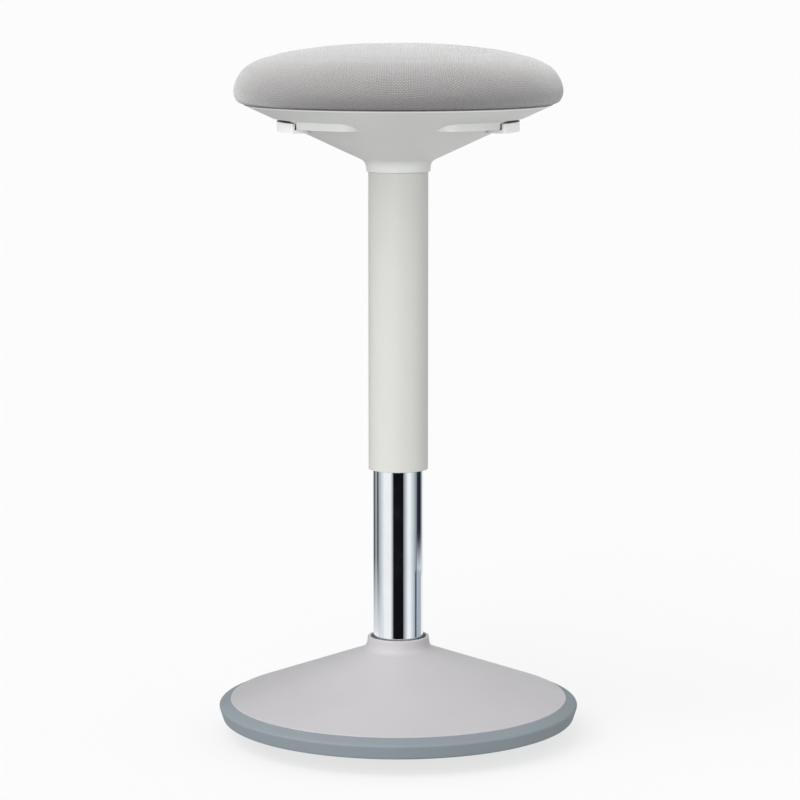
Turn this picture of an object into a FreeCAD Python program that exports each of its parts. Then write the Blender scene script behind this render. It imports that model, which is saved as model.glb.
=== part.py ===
import FreeCAD, Part
import math
import os

import Sketcher

# Wobble stool: a round upholstered seat on a gas lift, over a weighted base with a domed underside.
# Z is up, the origin is the centre of the flat that the stool rests on, and the levers are on X.

DOCUMENT = FreeCAD.newDocument("wobble_stool")
SHEET = DOCUMENT.addObject("Spreadsheet::Sheet", "Sizes")

# Each driving size: its name on the sheet, its value in millimetres or degrees, and what it is.
DRIVING_SIZES = [
    ("foot_flat_radius", 48, "flat that the stool stands on"),
    ("foot_dome_angle", 15, "slope of the dome at its edge"),
    ("foot_dome_margin", 3, "from the dome's end to the base cover's rim"),
    ("foot_thickness", 5, "rubber under the pan"),
    ("foot_edge_width", 7.5, "lower edge of the rubber rim, beyond the base cover"),
    ("foot_rim_width", 12, "widest part of the rubber rim, beyond the base cover"),
    ("foot_side_height", 14, "from the lower edge to the widest part"),
    ("foot_bevel_height", 5.2, "from the widest part to the seam with the base cover"),
    ("tread_spacing", 22, "between the tread grooves of the dome"),
    ("tread_count", 4, "tread grooves"),
    ("tread_width", 3, "one tread groove"),
    ("tread_depth", 1.2, "one tread groove"),
    ("cover_rim_radius", 169, "base cover at the rubber seam"),
    ("cover_slope", 20.5, "slope of the base cone"),
    ("cover_wall", 3.5, "base cover wall"),
    ("cover_rib_width", 2, "ribs inside the base cover"),
    ("cover_rib_height", 5, "ribs inside the base cover"),
    ("collar_gap", 2.8, "between collar and column"),
    ("collar_wall", 2.8, "collar at its top"),
    ("collar_draft", 1.4, "how much the collar widens downwards"),
    ("collar_height", 12.1, "collar above the corner of the cone"),
    ("collar_blend", 10, "fillet between cone and collar"),
    ("pan_skin", 3.5, "wall of the base pan"),
    ("pan_centre_margin", 10, "thick middle of the pan, beyond the hub"),
    ("pan_centre_thickness", 8, "thick middle of the pan"),
    ("pan_rib_width", 2.5, "ribs of the pan"),
    ("pan_ledge_rise", 7, "tops of the ribs, above the pan's middle"),
    ("weight_margin", 4, "from the pan's middle to the weight ring's bore"),
    ("weight_width", 62, "weight ring"),
    ("weight_thickness", 21, "weight ring"),
    ("weight_bolt_radius", 4, "M8 weight bolts"),
    ("foot_screw_inset", 22, "foot screws, from the base cover's rim"),
    ("foot_screw_radius", 2.4, "foot screws"),
    ("foot_screw_reach", 15, "thread above the pan"),
    ("foot_screw_count", 6, "foot screws"),
    ("hub_flange_width", 17, "flange of the column hub, beyond its barrel"),
    ("hub_flange_thickness", 5, "flange of the column hub"),
    ("hub_wall", 6, "barrel of the column hub"),
    ("hub_height", 58, "column hub with its flange"),
    ("hub_bolt_radius", 3, "M6 hub bolts"),
    ("column_radius", 25, "chromed column tube"),
    ("column_wall", 2, "chromed column tube"),
    ("column_top", 457, "top of the column tube"),
    ("column_room", 7, "below the column, for the rod end"),
    ("column_taper", 0.8, "how much the column narrows in its hub"),
    ("column_floor", 3, "bottom plate of the column tube"),
    ("bush_length", 80, "guide bush in the column"),
    ("bush_flange", 1.5, "flange of the guide bush"),
    ("running_clearance", 0.05, "radial, at every running fit"),
    ("rod_radius", 5, "piston rod"),
    ("rod_neck_radius", 4, "rod below its shoulder"),
    ("rod_end_gap", 1.5, "between the rod's lower end and the pan"),
    ("rod_top", 348, "height of the rod's upper end"),
    ("clip_radius", 8.5, "retaining clip"),
    ("clip_thickness", 1.2, "retaining clip"),
    ("clip_washer", 1.3, "washer above the clip"),
    ("bearing_radius", 13, "thrust bearing"),
    ("bearing_washer", 1.5, "each washer of the thrust bearing"),
    ("ball_radius", 2.25, "balls of the thrust bearing"),
    ("ball_count", 10, "balls of the thrust bearing"),
    ("bump_height", 16, "rubber bump stop"),
    ("piston_length", 14, "piston"),
    ("piston_drop", 7, "piston below the rod's end"),
    ("cylinder_radius", 14, "gas cylinder"),
    ("cylinder_wall", 1.5, "gas cylinder"),
    ("cylinder_bottom", 152, "height of the gas cylinder's lower end"),
    ("cylinder_lip", 2.5, "rolled lip under the gland"),
    ("cylinder_plug", 22, "valve block in the top"),
    ("cylinder_taper", 0.7, "how much the cylinder narrows in its hub"),
    ("gland_length", 20, "rod gland"),
    ("button_radius", 4, "release button"),
    ("button_length", 22, "release button with its stem"),
    ("button_stand", 10, "button above the cylinder"),
    ("button_travel", 4, "room for the button's stroke"),
    ("seat_rim_height", 634.4, "height of the shell's rim"),
    ("shell_rim_margin", 1, "rim of the under-shell, beyond the board"),
    ("shell_slope", 25, "slope of the under-shell"),
    ("shell_wall", 3, "under-shell"),
    ("shell_lip", 0.8, "upright edge of the rim"),
    ("neck_wall", 2.15, "neck of the under-shell"),
    ("neck_drop", 66.4, "from the rim to the neck's lower edge"),
    ("neck_blend", 9, "fillet between neck and cone"),
    ("shell_rib_width", 1.8, "ribs inside the under-shell"),
    ("shell_rib_height", 6, "ribs inside the under-shell"),
    ("lever_radius", 119.6, "outer face of the lever pads"),
    ("lever_width", 18.6, "lever pads, from the inner edge to the outer face"),
    ("lever_half_angle", 30.5, "lever pads"),
    ("window_inner_gap", 3, "between lever pad and its opening, inside"),
    ("window_outer_gap", 4.4, "between lever pad and its opening, outside"),
    ("window_angle_gap", 2.5, "between lever pad and its opening, at each end"),
    ("grip_margin", 2.4, "hand grips, beyond the lever pads"),
    ("grip_angle_gap", 3, "between the lever's opening and a grip"),
    ("grip_sweep", 34, "angle along a grip"),
    ("grip_drop", 21.8, "from the rim to the grips' flat underside"),
    ("grip_blend", 16, "rounded end of a grip"),
    ("grip_wall", 2.6, "walls of the hollow grips"),
    ("shell_screw_inset", 9.5, "shell screws, from the grips' outer face"),
    ("shell_screw_share", 0.4, "shell screws, as a share of a grip's sweep"),
    ("shell_screw_radius", 2, "shell screws"),
    ("shell_screw_bite", 9, "thread in the board"),
    ("sleeve_room", 2.7, "between column and cover sleeve"),
    ("sleeve_wall", 2, "cover sleeve"),
    ("sleeve_length", 321, "cover sleeve"),
    ("sleeve_end", 5.6, "sleeve above its retaining ring"),
    ("sleeve_socket", 16, "how deep the neck holds the sleeve"),
    ("sleeve_guide_length", 16, "guide in the sleeve's lower end"),
    ("sleeve_ring_reach", 4.3, "retaining ring, beyond the sleeve"),
    ("sleeve_ring_width", 2.4, "retaining ring"),
    ("sleeve_groove", 0.8, "depth of the ring's groove"),
    ("fabric", 1.4, "seat cover"),
    ("hem_width", 30, "cover turned in under the board"),
    ("board_radius", 151, "seat board"),
    ("board_thickness", 12, "seat board"),
    ("staple_count", 24, "staples"),
    ("staple_inset", 17, "staples, from the board's edge"),
    ("staple_width", 10, "back of a staple"),
    ("staple_leg", 7, "leg of a staple"),
    ("staple_wire", 0.8, "wire of a staple"),
    ("seat_height", 58.8, "from the rim to the top of the crown"),
    ("tuck_margin", 3.6, "cushion's lower edge, beyond the board"),
    ("waist_margin", 14.3, "corner of the widest part, beyond the board"),
    ("waist_height", 12.8, "from the rim to that corner"),
    ("waist_reach", 10, "how far the curve there starts from its corner"),
    ("shoulder_width", 14.8, "from the widest part in to the shoulder's corner"),
    ("shoulder_fall", 20.2, "from the top to the shoulder's corner"),
    ("shoulder_reach", 9, "how far the curve there starts from its corner"),
    ("slope_width", 28.5, "from the shoulder in to the slope's corner"),
    ("slope_fall", 8.8, "from the top to the slope's corner"),
    ("slope_reach", 17, "how far the curve there starts from its corner"),
    ("crown_share", 0.42, "corner of the crown, as a share of the slope's radius"),
    ("crown_reach_share", 0.86, "how far the crown's curve starts, as a share of its radius"),
    ("bracket_steel", 3, "stamped seat bracket"),
    ("bracket_depth", 31, "from the board to the bracket's underside"),
    ("bracket_length", 104, "along the levers"),
    ("bracket_width", 76, "outside of the side walls"),
    ("bracket_flange", 37, "flange beyond each side wall"),
    ("bracket_bend", 2, "inner radius of the bends"),
    ("bracket_bolt_x", 38, "bracket bolts from the middle"),
    ("bracket_bolt_y", 57, "bracket bolts from the middle"),
    ("bracket_bolt_radius", 3, "M6 bracket bolts"),
    ("bracket_hub_wall", 5, "taper hub of the bracket"),
    ("bracket_hub_drop", 24, "taper hub below the bracket"),
    ("pivot_x", 34, "lever pivots from the middle"),
    ("pivot_rise", 14, "pivots above the bracket's underside"),
    ("pin_radius", 3, "pivot pins"),
    ("pin_head", 2, "heads of the pivot pins"),
    ("lever_lip", 3.6, "finger lip of the lever pads"),
    ("lever_lip_height", 9.6, "finger lip of the lever pads"),
    ("lever_plate", 3.4, "plate of the lever pads"),
    ("lever_drop", 26.4, "from the rim to the pads' underside"),
    ("lever_arm", 6, "height of the lever arms"),
    ("lever_arm_width", 18, "width of the lever arms"),
    ("lever_barrel", 6.5, "radius of the pivot barrels"),
    ("lever_side_gap", 0.4, "between lever and bracket walls"),
    ("lever_nose", 4, "how far each lever reaches past the axis"),
    ("lever_nose_height", 5.5, "pressing end of a lever"),
    ("lever_nose_gap", 0.3, "between lever and button"),
]


class Size:
    """A size that carries its number and its formula on the sheet."""

    def __init__(self, number, formula):
        self.number = number
        self.formula = formula

    def __add__(self, other):
        return joined(self, other, "+", lambda a, b: a + b)

    def __radd__(self, other):
        return joined(other, self, "+", lambda a, b: a + b)

    def __sub__(self, other):
        return joined(self, other, "-", lambda a, b: a - b)

    def __rsub__(self, other):
        return joined(other, self, "-", lambda a, b: a - b)

    def __mul__(self, other):
        return joined(self, other, "*", lambda a, b: a * b)

    def __rmul__(self, other):
        return joined(other, self, "*", lambda a, b: a * b)

    def __truediv__(self, other):
        return joined(self, other, "/", lambda a, b: a / b)

    def __neg__(self):
        return joined(0, self, "-", lambda a, b: a - b)


def as_size(value):
    return value if isinstance(value, Size) else Size(value, f"{value}")


def joined(left, right, sign, work):
    left = as_size(left)
    right = as_size(right)
    return Size(work(left.number, right.number), f"({left.formula} {sign} {right.formula})")


def tangent(angle):
    return Size(math.tan(math.radians(angle.number)), f"tan({angle.formula})")


def cosine(angle):
    return Size(math.cos(math.radians(angle.number)), f"cos({angle.formula})")


def sine(angle):
    return Size(math.sin(math.radians(angle.number)), f"sin({angle.formula})")


def limited(size, most):
    """A rounding that its wall limits."""
    size = as_size(size)
    return Size(min(size.number, most.number), f"min({size.formula}; {most.formula})")


def root(size):
    return Size(math.sqrt(size.number), f"sqrt({size.formula})")


class SheetSizes:
    """Every driving size under its name on the sheet."""


S = SheetSizes()
for row, (name, value, meaning) in enumerate(DRIVING_SIZES, start=1):
    SHEET.set(f"A{row}", meaning)
    SHEET.set(f"B{row}", f"{value}")
    SHEET.setAlias(f"B{row}", name)
    setattr(S, name, Size(float(value), f"Sizes.{name}"))
DOCUMENT.recompute()

S.hub_radius = S.column_radius + S.hub_wall
S.hub_flange_radius = S.hub_radius + S.hub_flange_width
S.hub_bolt_circle = (S.hub_radius + S.hub_flange_radius) / 2
S.pan_centre_radius = S.hub_flange_radius + S.pan_centre_margin
S.weight_inner_radius = S.pan_centre_radius + S.weight_margin
S.weight_outer_radius = S.weight_inner_radius + S.weight_width
S.weight_bolt_circle = (S.weight_inner_radius + S.weight_outer_radius) / 2
S.foot_screw_circle = S.cover_rim_radius - S.foot_screw_inset
S.foot_edge_radius = S.cover_rim_radius + S.foot_edge_width
S.foot_rim_radius = S.cover_rim_radius + S.foot_rim_width
S.collar_radius = S.column_radius + S.collar_gap + S.collar_wall
S.collar_foot_radius = S.collar_radius + S.collar_draft
S.sleeve_radius = S.column_radius + S.sleeve_room + S.sleeve_wall
S.sleeve_ring_radius = S.sleeve_radius + S.sleeve_ring_reach
S.neck_radius = S.sleeve_radius + S.running_clearance + S.neck_wall
S.bracket_hub_radius = S.cylinder_radius + S.bracket_hub_wall
S.shell_rim_radius = S.board_radius + S.shell_rim_margin
S.staple_circle = S.board_radius - S.staple_inset
S.lever_inner_radius = S.lever_radius - S.lever_width
S.window_inner_radius = S.lever_inner_radius - S.window_inner_gap
S.window_outer_radius = S.lever_radius + S.window_outer_gap
S.window_half_angle = S.lever_half_angle + S.window_angle_gap
S.grip_radius = S.lever_radius + S.grip_margin
S.grip_start = S.window_half_angle + S.grip_angle_gap
S.grip_end = S.grip_start + S.grip_sweep
S.shell_screw_circle = S.grip_radius - S.shell_screw_inset
S.shell_screw_angle = S.grip_start + S.grip_sweep * S.shell_screw_share


# Sketches, features and groups

def vector(across, up, depth=0.0):
    return FreeCAD.Vector(across, up, depth)


def new_body(label):
    body = DOCUMENT.addObject("PartDesign::Body", label)
    body.Label = label
    return body


def origin_item(body, role):
    return next(item for item in body.Origin.OriginFeatures if item.Role == role)


def new_sketch(body, name, role, lift=None):
    """A sketch on one of the body's own planes, lifted along the plane's normal."""
    sketch = body.newObject("Sketcher::SketchObject", name)
    sketch.AttachmentSupport = [(origin_item(body, role), "")]
    sketch.MapMode = "FlatFace"
    if lift is not None:
        sketch.setExpression(".AttachmentOffset.Base.z", as_size(lift).formula)
    return sketch


def bind(sketch, kind, *places, size):
    """A dimension of the sketch that follows its formula."""
    size = as_size(size)
    index = sketch.addConstraint(Sketcher.Constraint(kind, *places, size.number))
    sketch.setExpression(f"Constraints[{index}]", size.formula)


def place_point(sketch, geometry, spot, across, up):
    """Fixes one point of a geometry at its distances from the sketch's origin."""
    if as_size(across).formula == "0":
        sketch.addConstraint(Sketcher.Constraint("PointOnObject", geometry, spot, -2))
    else:
        bind(sketch, "DistanceX", -1, 1, geometry, spot, size=across)
    if as_size(up).formula == "0":
        sketch.addConstraint(Sketcher.Constraint("PointOnObject", geometry, spot, -1))
    else:
        bind(sketch, "DistanceY", -1, 1, geometry, spot, size=up)


def arc_between(centre, radius, first, last):
    """A counter-clockwise arc from one point to the other."""
    start = math.atan2(first.y - centre.y, first.x - centre.x)
    end = math.atan2(last.y - centre.y, last.x - centre.x)
    return Part.ArcOfCircle(Part.Circle(centre, vector(0, 0, 1), radius), start, end)


class Reach:
    """Rounds a corner by how far the curve starts from it, not by its radius."""

    def __init__(self, size):
        self.size = as_size(size)


def draw_outline(sketch, corners):
    """A closed outline through (across, up), or (across, up, radius or reach) where a corner is rounded."""
    count = len(corners)
    points = [vector(as_size(corner[0]).number, as_size(corner[1]).number) for corner in corners]
    entries = list(points)
    exits = list(points)
    arcs = {}
    for index, corner in enumerate(corners):
        if len(corner) < 3:
            continue
        before = (points[index - 1] - points[index]).normalize()
        after = (points[(index + 1) % count] - points[index]).normalize()
        half = before.getAngle(after) / 2
        if isinstance(corner[2], Reach):
            radius = corner[2].size.number * math.tan(half)
        else:
            radius = as_size(corner[2]).number
        entries[index] = points[index] + before * (radius / math.tan(half))
        exits[index] = points[index] + after * (radius / math.tan(half))
        centre = points[index] + (before + after).normalize() * (radius / math.sin(half))
        turns_left = before.cross(after).z < 0
        arcs[index] = (centre, radius, turns_left)
    lines = []
    for index in range(count):
        following = (index + 1) % count
        lines.append(sketch.addGeometry(Part.LineSegment(exits[index], entries[following]), False))
    for index, corner in enumerate(corners):
        line_in = lines[index - 1]
        line_out = lines[index]
        if index not in arcs:
            sketch.addConstraint(Sketcher.Constraint("Coincident", line_in, 2, line_out, 1))
            place_point(sketch, line_out, 1, corner[0], corner[1])
            continue
        centre, radius, turns_left = arcs[index]
        ends = (entries[index], exits[index]) if turns_left else (exits[index], entries[index])
        arc = sketch.addGeometry(arc_between(centre, radius, *ends), False)
        knot = sketch.addGeometry(Part.Point(points[index]), True)
        place_point(sketch, knot, 1, corner[0], corner[1])
        sketch.addConstraint(Sketcher.Constraint("PointOnObject", knot, 1, line_in))
        sketch.addConstraint(Sketcher.Constraint("PointOnObject", knot, 1, line_out))
        entry_end, exit_end = (1, 2) if turns_left else (2, 1)
        sketch.addConstraint(Sketcher.Constraint("Tangent", line_in, 2, arc, entry_end))
        sketch.addConstraint(Sketcher.Constraint("Tangent", line_out, 1, arc, exit_end))
        if isinstance(corner[2], Reach):
            bind(sketch, "Distance", knot, 1, line_in, 2, size=corner[2].size)
        else:
            bind(sketch, "Radius", arc, size=corner[2])
    return sketch


def draw_circle(sketch, across, up, radius):
    centre = vector(as_size(across).number, as_size(up).number)
    circle = sketch.addGeometry(Part.Circle(centre, vector(0, 0, 1), as_size(radius).number), False)
    place_point(sketch, circle, 3, across, up)
    bind(sketch, "Radius", circle, size=radius)


def polar(radius, angle):
    return vector(radius * math.cos(math.radians(angle)), radius * math.sin(math.radians(angle)))


def draw_sector(sketch, inner, outer, start, end, start_round, end_round):
    """A piece of a ring about the origin, whose two outer corners are rounded."""
    most = (outer * outer - inner * inner) / (outer * 2) * 0.95
    start_round = limited(start_round, most)
    end_round = limited(end_round, most)
    low = as_size(start).number
    high = as_size(end).number
    big = as_size(outer).number
    small = as_size(inner).number
    low_round = as_size(start_round).number
    high_round = as_size(end_round).number
    centre = vector(0, 0)
    tips = []
    for angle, rounding, side in ((low, low_round, 1), (high, high_round, -1)):
        reach = math.sqrt((big - rounding) ** 2 - rounding ** 2)
        swing = side * math.degrees(math.asin(rounding / (big - rounding)))
        tips.append((polar(reach, angle), polar(big - rounding, angle + swing), polar(big, angle + swing)))
    low_line = sketch.addGeometry(Part.LineSegment(polar(small, low), tips[0][0]), False)
    low_arc = sketch.addGeometry(arc_between(tips[0][1], low_round, tips[0][0], tips[0][2]), False)
    outer_arc = sketch.addGeometry(arc_between(centre, big, tips[0][2], tips[1][2]), False)
    high_arc = sketch.addGeometry(arc_between(tips[1][1], high_round, tips[1][2], tips[1][0]), False)
    high_line = sketch.addGeometry(Part.LineSegment(tips[1][0], polar(small, high)), False)
    inner_ends = (polar(small, low), polar(small, high))
    inner_arc = sketch.addGeometry(arc_between(centre, small, *inner_ends), False)
    for kind, *places in (
        ("Coincident", outer_arc, 3, -1, 1),
        ("Coincident", inner_arc, 3, -1, 1),
        ("Coincident", inner_arc, 1, low_line, 1),
        ("Coincident", inner_arc, 2, high_line, 2),
        ("Tangent", low_line, 2, low_arc, 1),
        ("Tangent", low_arc, 2, outer_arc, 1),
        ("Tangent", outer_arc, 2, high_arc, 1),
        ("Tangent", high_arc, 2, high_line, 1),
        ("PointOnObject", -1, 1, low_line),
        ("PointOnObject", -1, 1, high_line),
    ):
        sketch.addConstraint(Sketcher.Constraint(kind, *places))
    bind(sketch, "Radius", outer_arc, size=outer)
    bind(sketch, "Radius", inner_arc, size=inner)
    bind(sketch, "Radius", low_arc, size=start_round)
    bind(sketch, "Radius", high_arc, size=end_round)
    place_polar(sketch, low_line, 1, inner, start)
    place_polar(sketch, high_line, 2, inner, end)


def place_polar(sketch, geometry, spot, radius, angle):
    """Fixes the direction of a point that already lies on its circle."""
    angle = as_size(angle)
    if abs(math.cos(math.radians(angle.number))) > abs(math.sin(math.radians(angle.number))):
        bind(sketch, "DistanceY", -1, 1, geometry, spot, size=radius * sine(angle))
    else:
        bind(sketch, "DistanceX", -1, 1, geometry, spot, size=radius * cosine(angle))


def revolve(body, name, corners):
    """A turned form about Z, from its half section."""
    sketch = draw_outline(new_sketch(body, f"{name}_section", "XZ_Plane"), corners)
    feature = body.newObject("PartDesign::Revolution", name)
    feature.Profile = sketch
    feature.ReferenceAxis = (sketch, ["V_Axis"])
    feature.Angle = 360
    return feature


def groove(body, name, corners):
    """A turned cut about Z, from its half section."""
    sketch = draw_outline(new_sketch(body, f"{name}_section", "XZ_Plane"), corners)
    feature = body.newObject("PartDesign::Groove", name)
    feature.Profile = sketch
    feature.ReferenceAxis = (sketch, ["V_Axis"])
    feature.Angle = 360
    return feature


def pad(body, name, sketch, length, side="One side"):
    feature = body.newObject("PartDesign::Pad", name)
    feature.Profile = sketch
    feature.SideType = side
    feature.setExpression("Length", as_size(length).formula)
    return feature


def pocket(body, name, sketch, length, side="One side", upward=True):
    """A cut from the sketch's plane, along the plane's normal unless told otherwise."""
    feature = body.newObject("PartDesign::Pocket", name)
    feature.Profile = sketch
    feature.SideType = side
    feature.Reversed = upward
    feature.setExpression("Length", as_size(length).formula)
    return feature


def ring_pattern(body, name, originals, count, sweep=360):
    """Copies of features, evenly spaced about Z."""
    pattern = body.newObject("PartDesign::PolarPattern", name)
    pattern.Originals = originals
    pattern.Axis = (origin_item(body, "Z_Axis"), [""])
    pattern.Angle = sweep
    if isinstance(count, Size):
        pattern.setExpression("Occurrences", count.formula)
    else:
        pattern.Occurrences = count
    body.Tip = pattern
    return pattern


def new_group(label, solids):
    """Like pieces that share one node, each a separate solid."""
    group = DOCUMENT.addObject("Part::Feature", label)
    group.Label = label
    group.Shape = Part.makeCompound(solids)
    group.Placement = FreeCAD.Placement()
    return group


def rod_solid(radius, low, high, across=0.0, along=0.0):
    return Part.makeCylinder(radius, high - low, vector(across, along, low))


def ring_solid(inner, outer, low, high, across=0.0, along=0.0):
    return rod_solid(outer, low, high, across, along).cut(rod_solid(inner, low, high, across, along))


def hex_socket_screw(radius, head_radius, head_height, seat, length, across, along, upward):
    """A round head on one side of its seat and a plain shank on the other, with a hexagon socket."""
    way = 1 if upward else -1
    shank = rod_solid(radius, min(seat, seat + way * length), max(seat, seat + way * length), across, along)
    head_low = seat - head_height if upward else seat
    head = rod_solid(head_radius, head_low, head_low + head_height, across, along)
    socket_radius = radius * 0.95
    socket_depth = head_height * 0.6
    open_face = head_low if upward else head_low + head_height
    corners = [polar(socket_radius, 60 * turn) + vector(across, along, open_face) for turn in range(7)]
    socket = Part.Face(Part.makePolygon(corners)).extrude(vector(0, 0, way * socket_depth))
    return head.fuse(shank).cut(socket).removeSplitter()


def around(count, radius, first_angle=0.0):
    """Places on a circle, as plain numbers."""
    return [polar(radius, first_angle + 360.0 * turn / count) for turn in range(int(count))]


# Heights that several pieces share

PAN_CENTRE_BOTTOM = S.foot_thickness
PAN_CENTRE_TOP = PAN_CENTRE_BOTTOM + S.pan_centre_thickness
HUB_TOP = PAN_CENTRE_TOP + S.hub_height
COLUMN_BOTTOM = PAN_CENTRE_TOP + S.column_room
COLUMN_FLOOR_TOP = COLUMN_BOTTOM + S.column_floor
COLUMN_BORE = S.column_radius - S.column_wall
BEARING_TOP = COLUMN_FLOOR_TOP + S.bearing_washer * 2 + S.ball_radius * 2
DOME_END = S.cover_rim_radius - S.foot_dome_margin
DOME_REACH = (DOME_END - S.foot_flat_radius) / (1 + cosine(S.foot_dome_angle))
DOME_CORNER = S.foot_flat_radius + DOME_REACH
DOME_RADIUS = DOME_REACH / tangent(S.foot_dome_angle / 2)
FOOT_EDGE_HEIGHT = (S.foot_edge_radius - DOME_CORNER) * tangent(S.foot_dome_angle)
FOOT_RIM_HEIGHT = FOOT_EDGE_HEIGHT + S.foot_side_height
SEAM_HEIGHT = FOOT_RIM_HEIGHT + S.foot_bevel_height
COVER_TOP_CORNER = SEAM_HEIGHT + (S.cover_rim_radius - S.collar_foot_radius) * tangent(S.cover_slope)
COLLAR_TOP = COVER_TOP_CORNER + S.collar_height
PAN_LEDGE_HEIGHT = PAN_CENTRE_TOP + S.pan_ledge_rise
ROD_END = PAN_CENTRE_TOP + S.rod_end_gap
CYLINDER_BORE = S.cylinder_radius - S.cylinder_wall

RIM = S.seat_rim_height
BOARD_BOTTOM = RIM + S.fabric
BOARD_TOP = BOARD_BOTTOM + S.board_thickness
BRACKET_BOTTOM = BOARD_BOTTOM - S.bracket_depth
WEB_TOP = BRACKET_BOTTOM + S.bracket_steel
BRACKET_HUB_BOTTOM = BRACKET_BOTTOM - S.bracket_hub_drop
CYLINDER_TOP = WEB_TOP + 4
BUTTON_TOP = CYLINDER_TOP + S.button_stand
PIVOT_HEIGHT = BRACKET_BOTTOM + S.pivot_rise
NECK_BOTTOM = RIM - S.neck_drop
NECK_CORNER = RIM - S.shell_lip - (S.shell_rim_radius - S.neck_radius) * tangent(S.shell_slope)
SHELL_DEPTH = S.shell_wall / cosine(S.shell_slope)
SLEEVE_SEAT = NECK_BOTTOM + S.sleeve_socket
SLEEVE_TOP = SLEEVE_SEAT + S.sleeve_ring_width + S.sleeve_end
SLEEVE_BOTTOM = SLEEVE_TOP - S.sleeve_length
SLEEVE_BORE = S.sleeve_radius - S.sleeve_wall
GRIP_BOTTOM = RIM - S.grip_drop
LEVER_BOTTOM = RIM - S.lever_drop


def dome_height(radius):
    """Height of the rubber dome's underside at a radius beyond the flat."""
    run = radius - S.foot_flat_radius
    return DOME_RADIUS - root(DOME_RADIUS * DOME_RADIUS - run * run)


def shell_height(radius):
    """Height of the under-shell's outer cone at a radius."""
    return NECK_CORNER + (radius - S.neck_radius) * tangent(S.shell_slope)


def cover_height(radius):
    """Height of the base cover's outer cone at a radius."""
    return SEAM_HEIGHT + (S.cover_rim_radius - radius) * tangent(S.cover_slope)


def pan_bottom(radius):
    return dome_height(radius) + S.foot_thickness


def pan_top(radius):
    return pan_bottom(radius) + S.pan_skin


FOOT_SCREW_SEAT = dome_height(S.foot_screw_circle) + S.foot_thickness * 0.6
FOOT_SCREW_HEAD = S.foot_screw_radius * 2.2
WEIGHT_TOP = PAN_LEDGE_HEIGHT + S.weight_thickness
BRACKET_BOLT_SEAT = BOARD_BOTTOM - S.bracket_steel
SHELL_SCREW_SEAT = GRIP_BOTTOM + 6
GRIP_BLUNT = as_size(2)
TEE_NUT_WALL = as_size(1)
TEE_NUT_FLANGE = as_size(1.2)


# Base

def make_rubber_foot():
    """Rubber dish: the dome that the stool rocks on, its tread and the rim round the base."""
    body = new_body("rubber_foot")
    rise = tangent(S.foot_dome_angle)
    revolve(body, "dish", [
        (0, 0),
        (DOME_CORNER, 0, Reach(DOME_REACH)),
        (S.foot_edge_radius, FOOT_EDGE_HEIGHT, 3),
        (S.foot_rim_radius, FOOT_RIM_HEIGHT, 2.5),
        (S.cover_rim_radius, SEAM_HEIGHT),
        (S.cover_rim_radius, (S.cover_rim_radius - DOME_CORNER) * rise + S.foot_thickness),
        (DOME_CORNER, S.foot_thickness, Reach(DOME_REACH)),
        (0, S.foot_thickness),
    ])
    for turn in range(int(S.tread_count.number)):
        middle = S.foot_flat_radius + S.tread_spacing * (turn + 0.55)
        floor = dome_height(middle) + S.tread_depth
        groove(body, f"tread_{turn + 1}", [
            (middle - S.tread_width / 2, floor - 4),
            (middle + S.tread_width / 2, floor - 4),
            (middle + S.tread_width / 2, floor, 0.6),
            (middle - S.tread_width / 2, floor, 0.6),
        ])
    head_place = new_sketch(body, "screw_head_place", "XY_Plane")
    draw_circle(head_place, S.foot_screw_circle, 0, S.foot_screw_radius * 2.5)
    recess = pocket(body, "screw_recess", head_place, FOOT_SCREW_SEAT)
    shank_place = new_sketch(body, "screw_shank_place", "XY_Plane")
    draw_circle(shank_place, S.foot_screw_circle, 0, S.foot_screw_radius)
    hole = pocket(body, "screw_hole", shank_place, FOOT_SCREW_SEAT + S.foot_thickness * 2)
    ring_pattern(body, "screw_places", [recess, hole], S.foot_screw_count)
    return body


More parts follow.
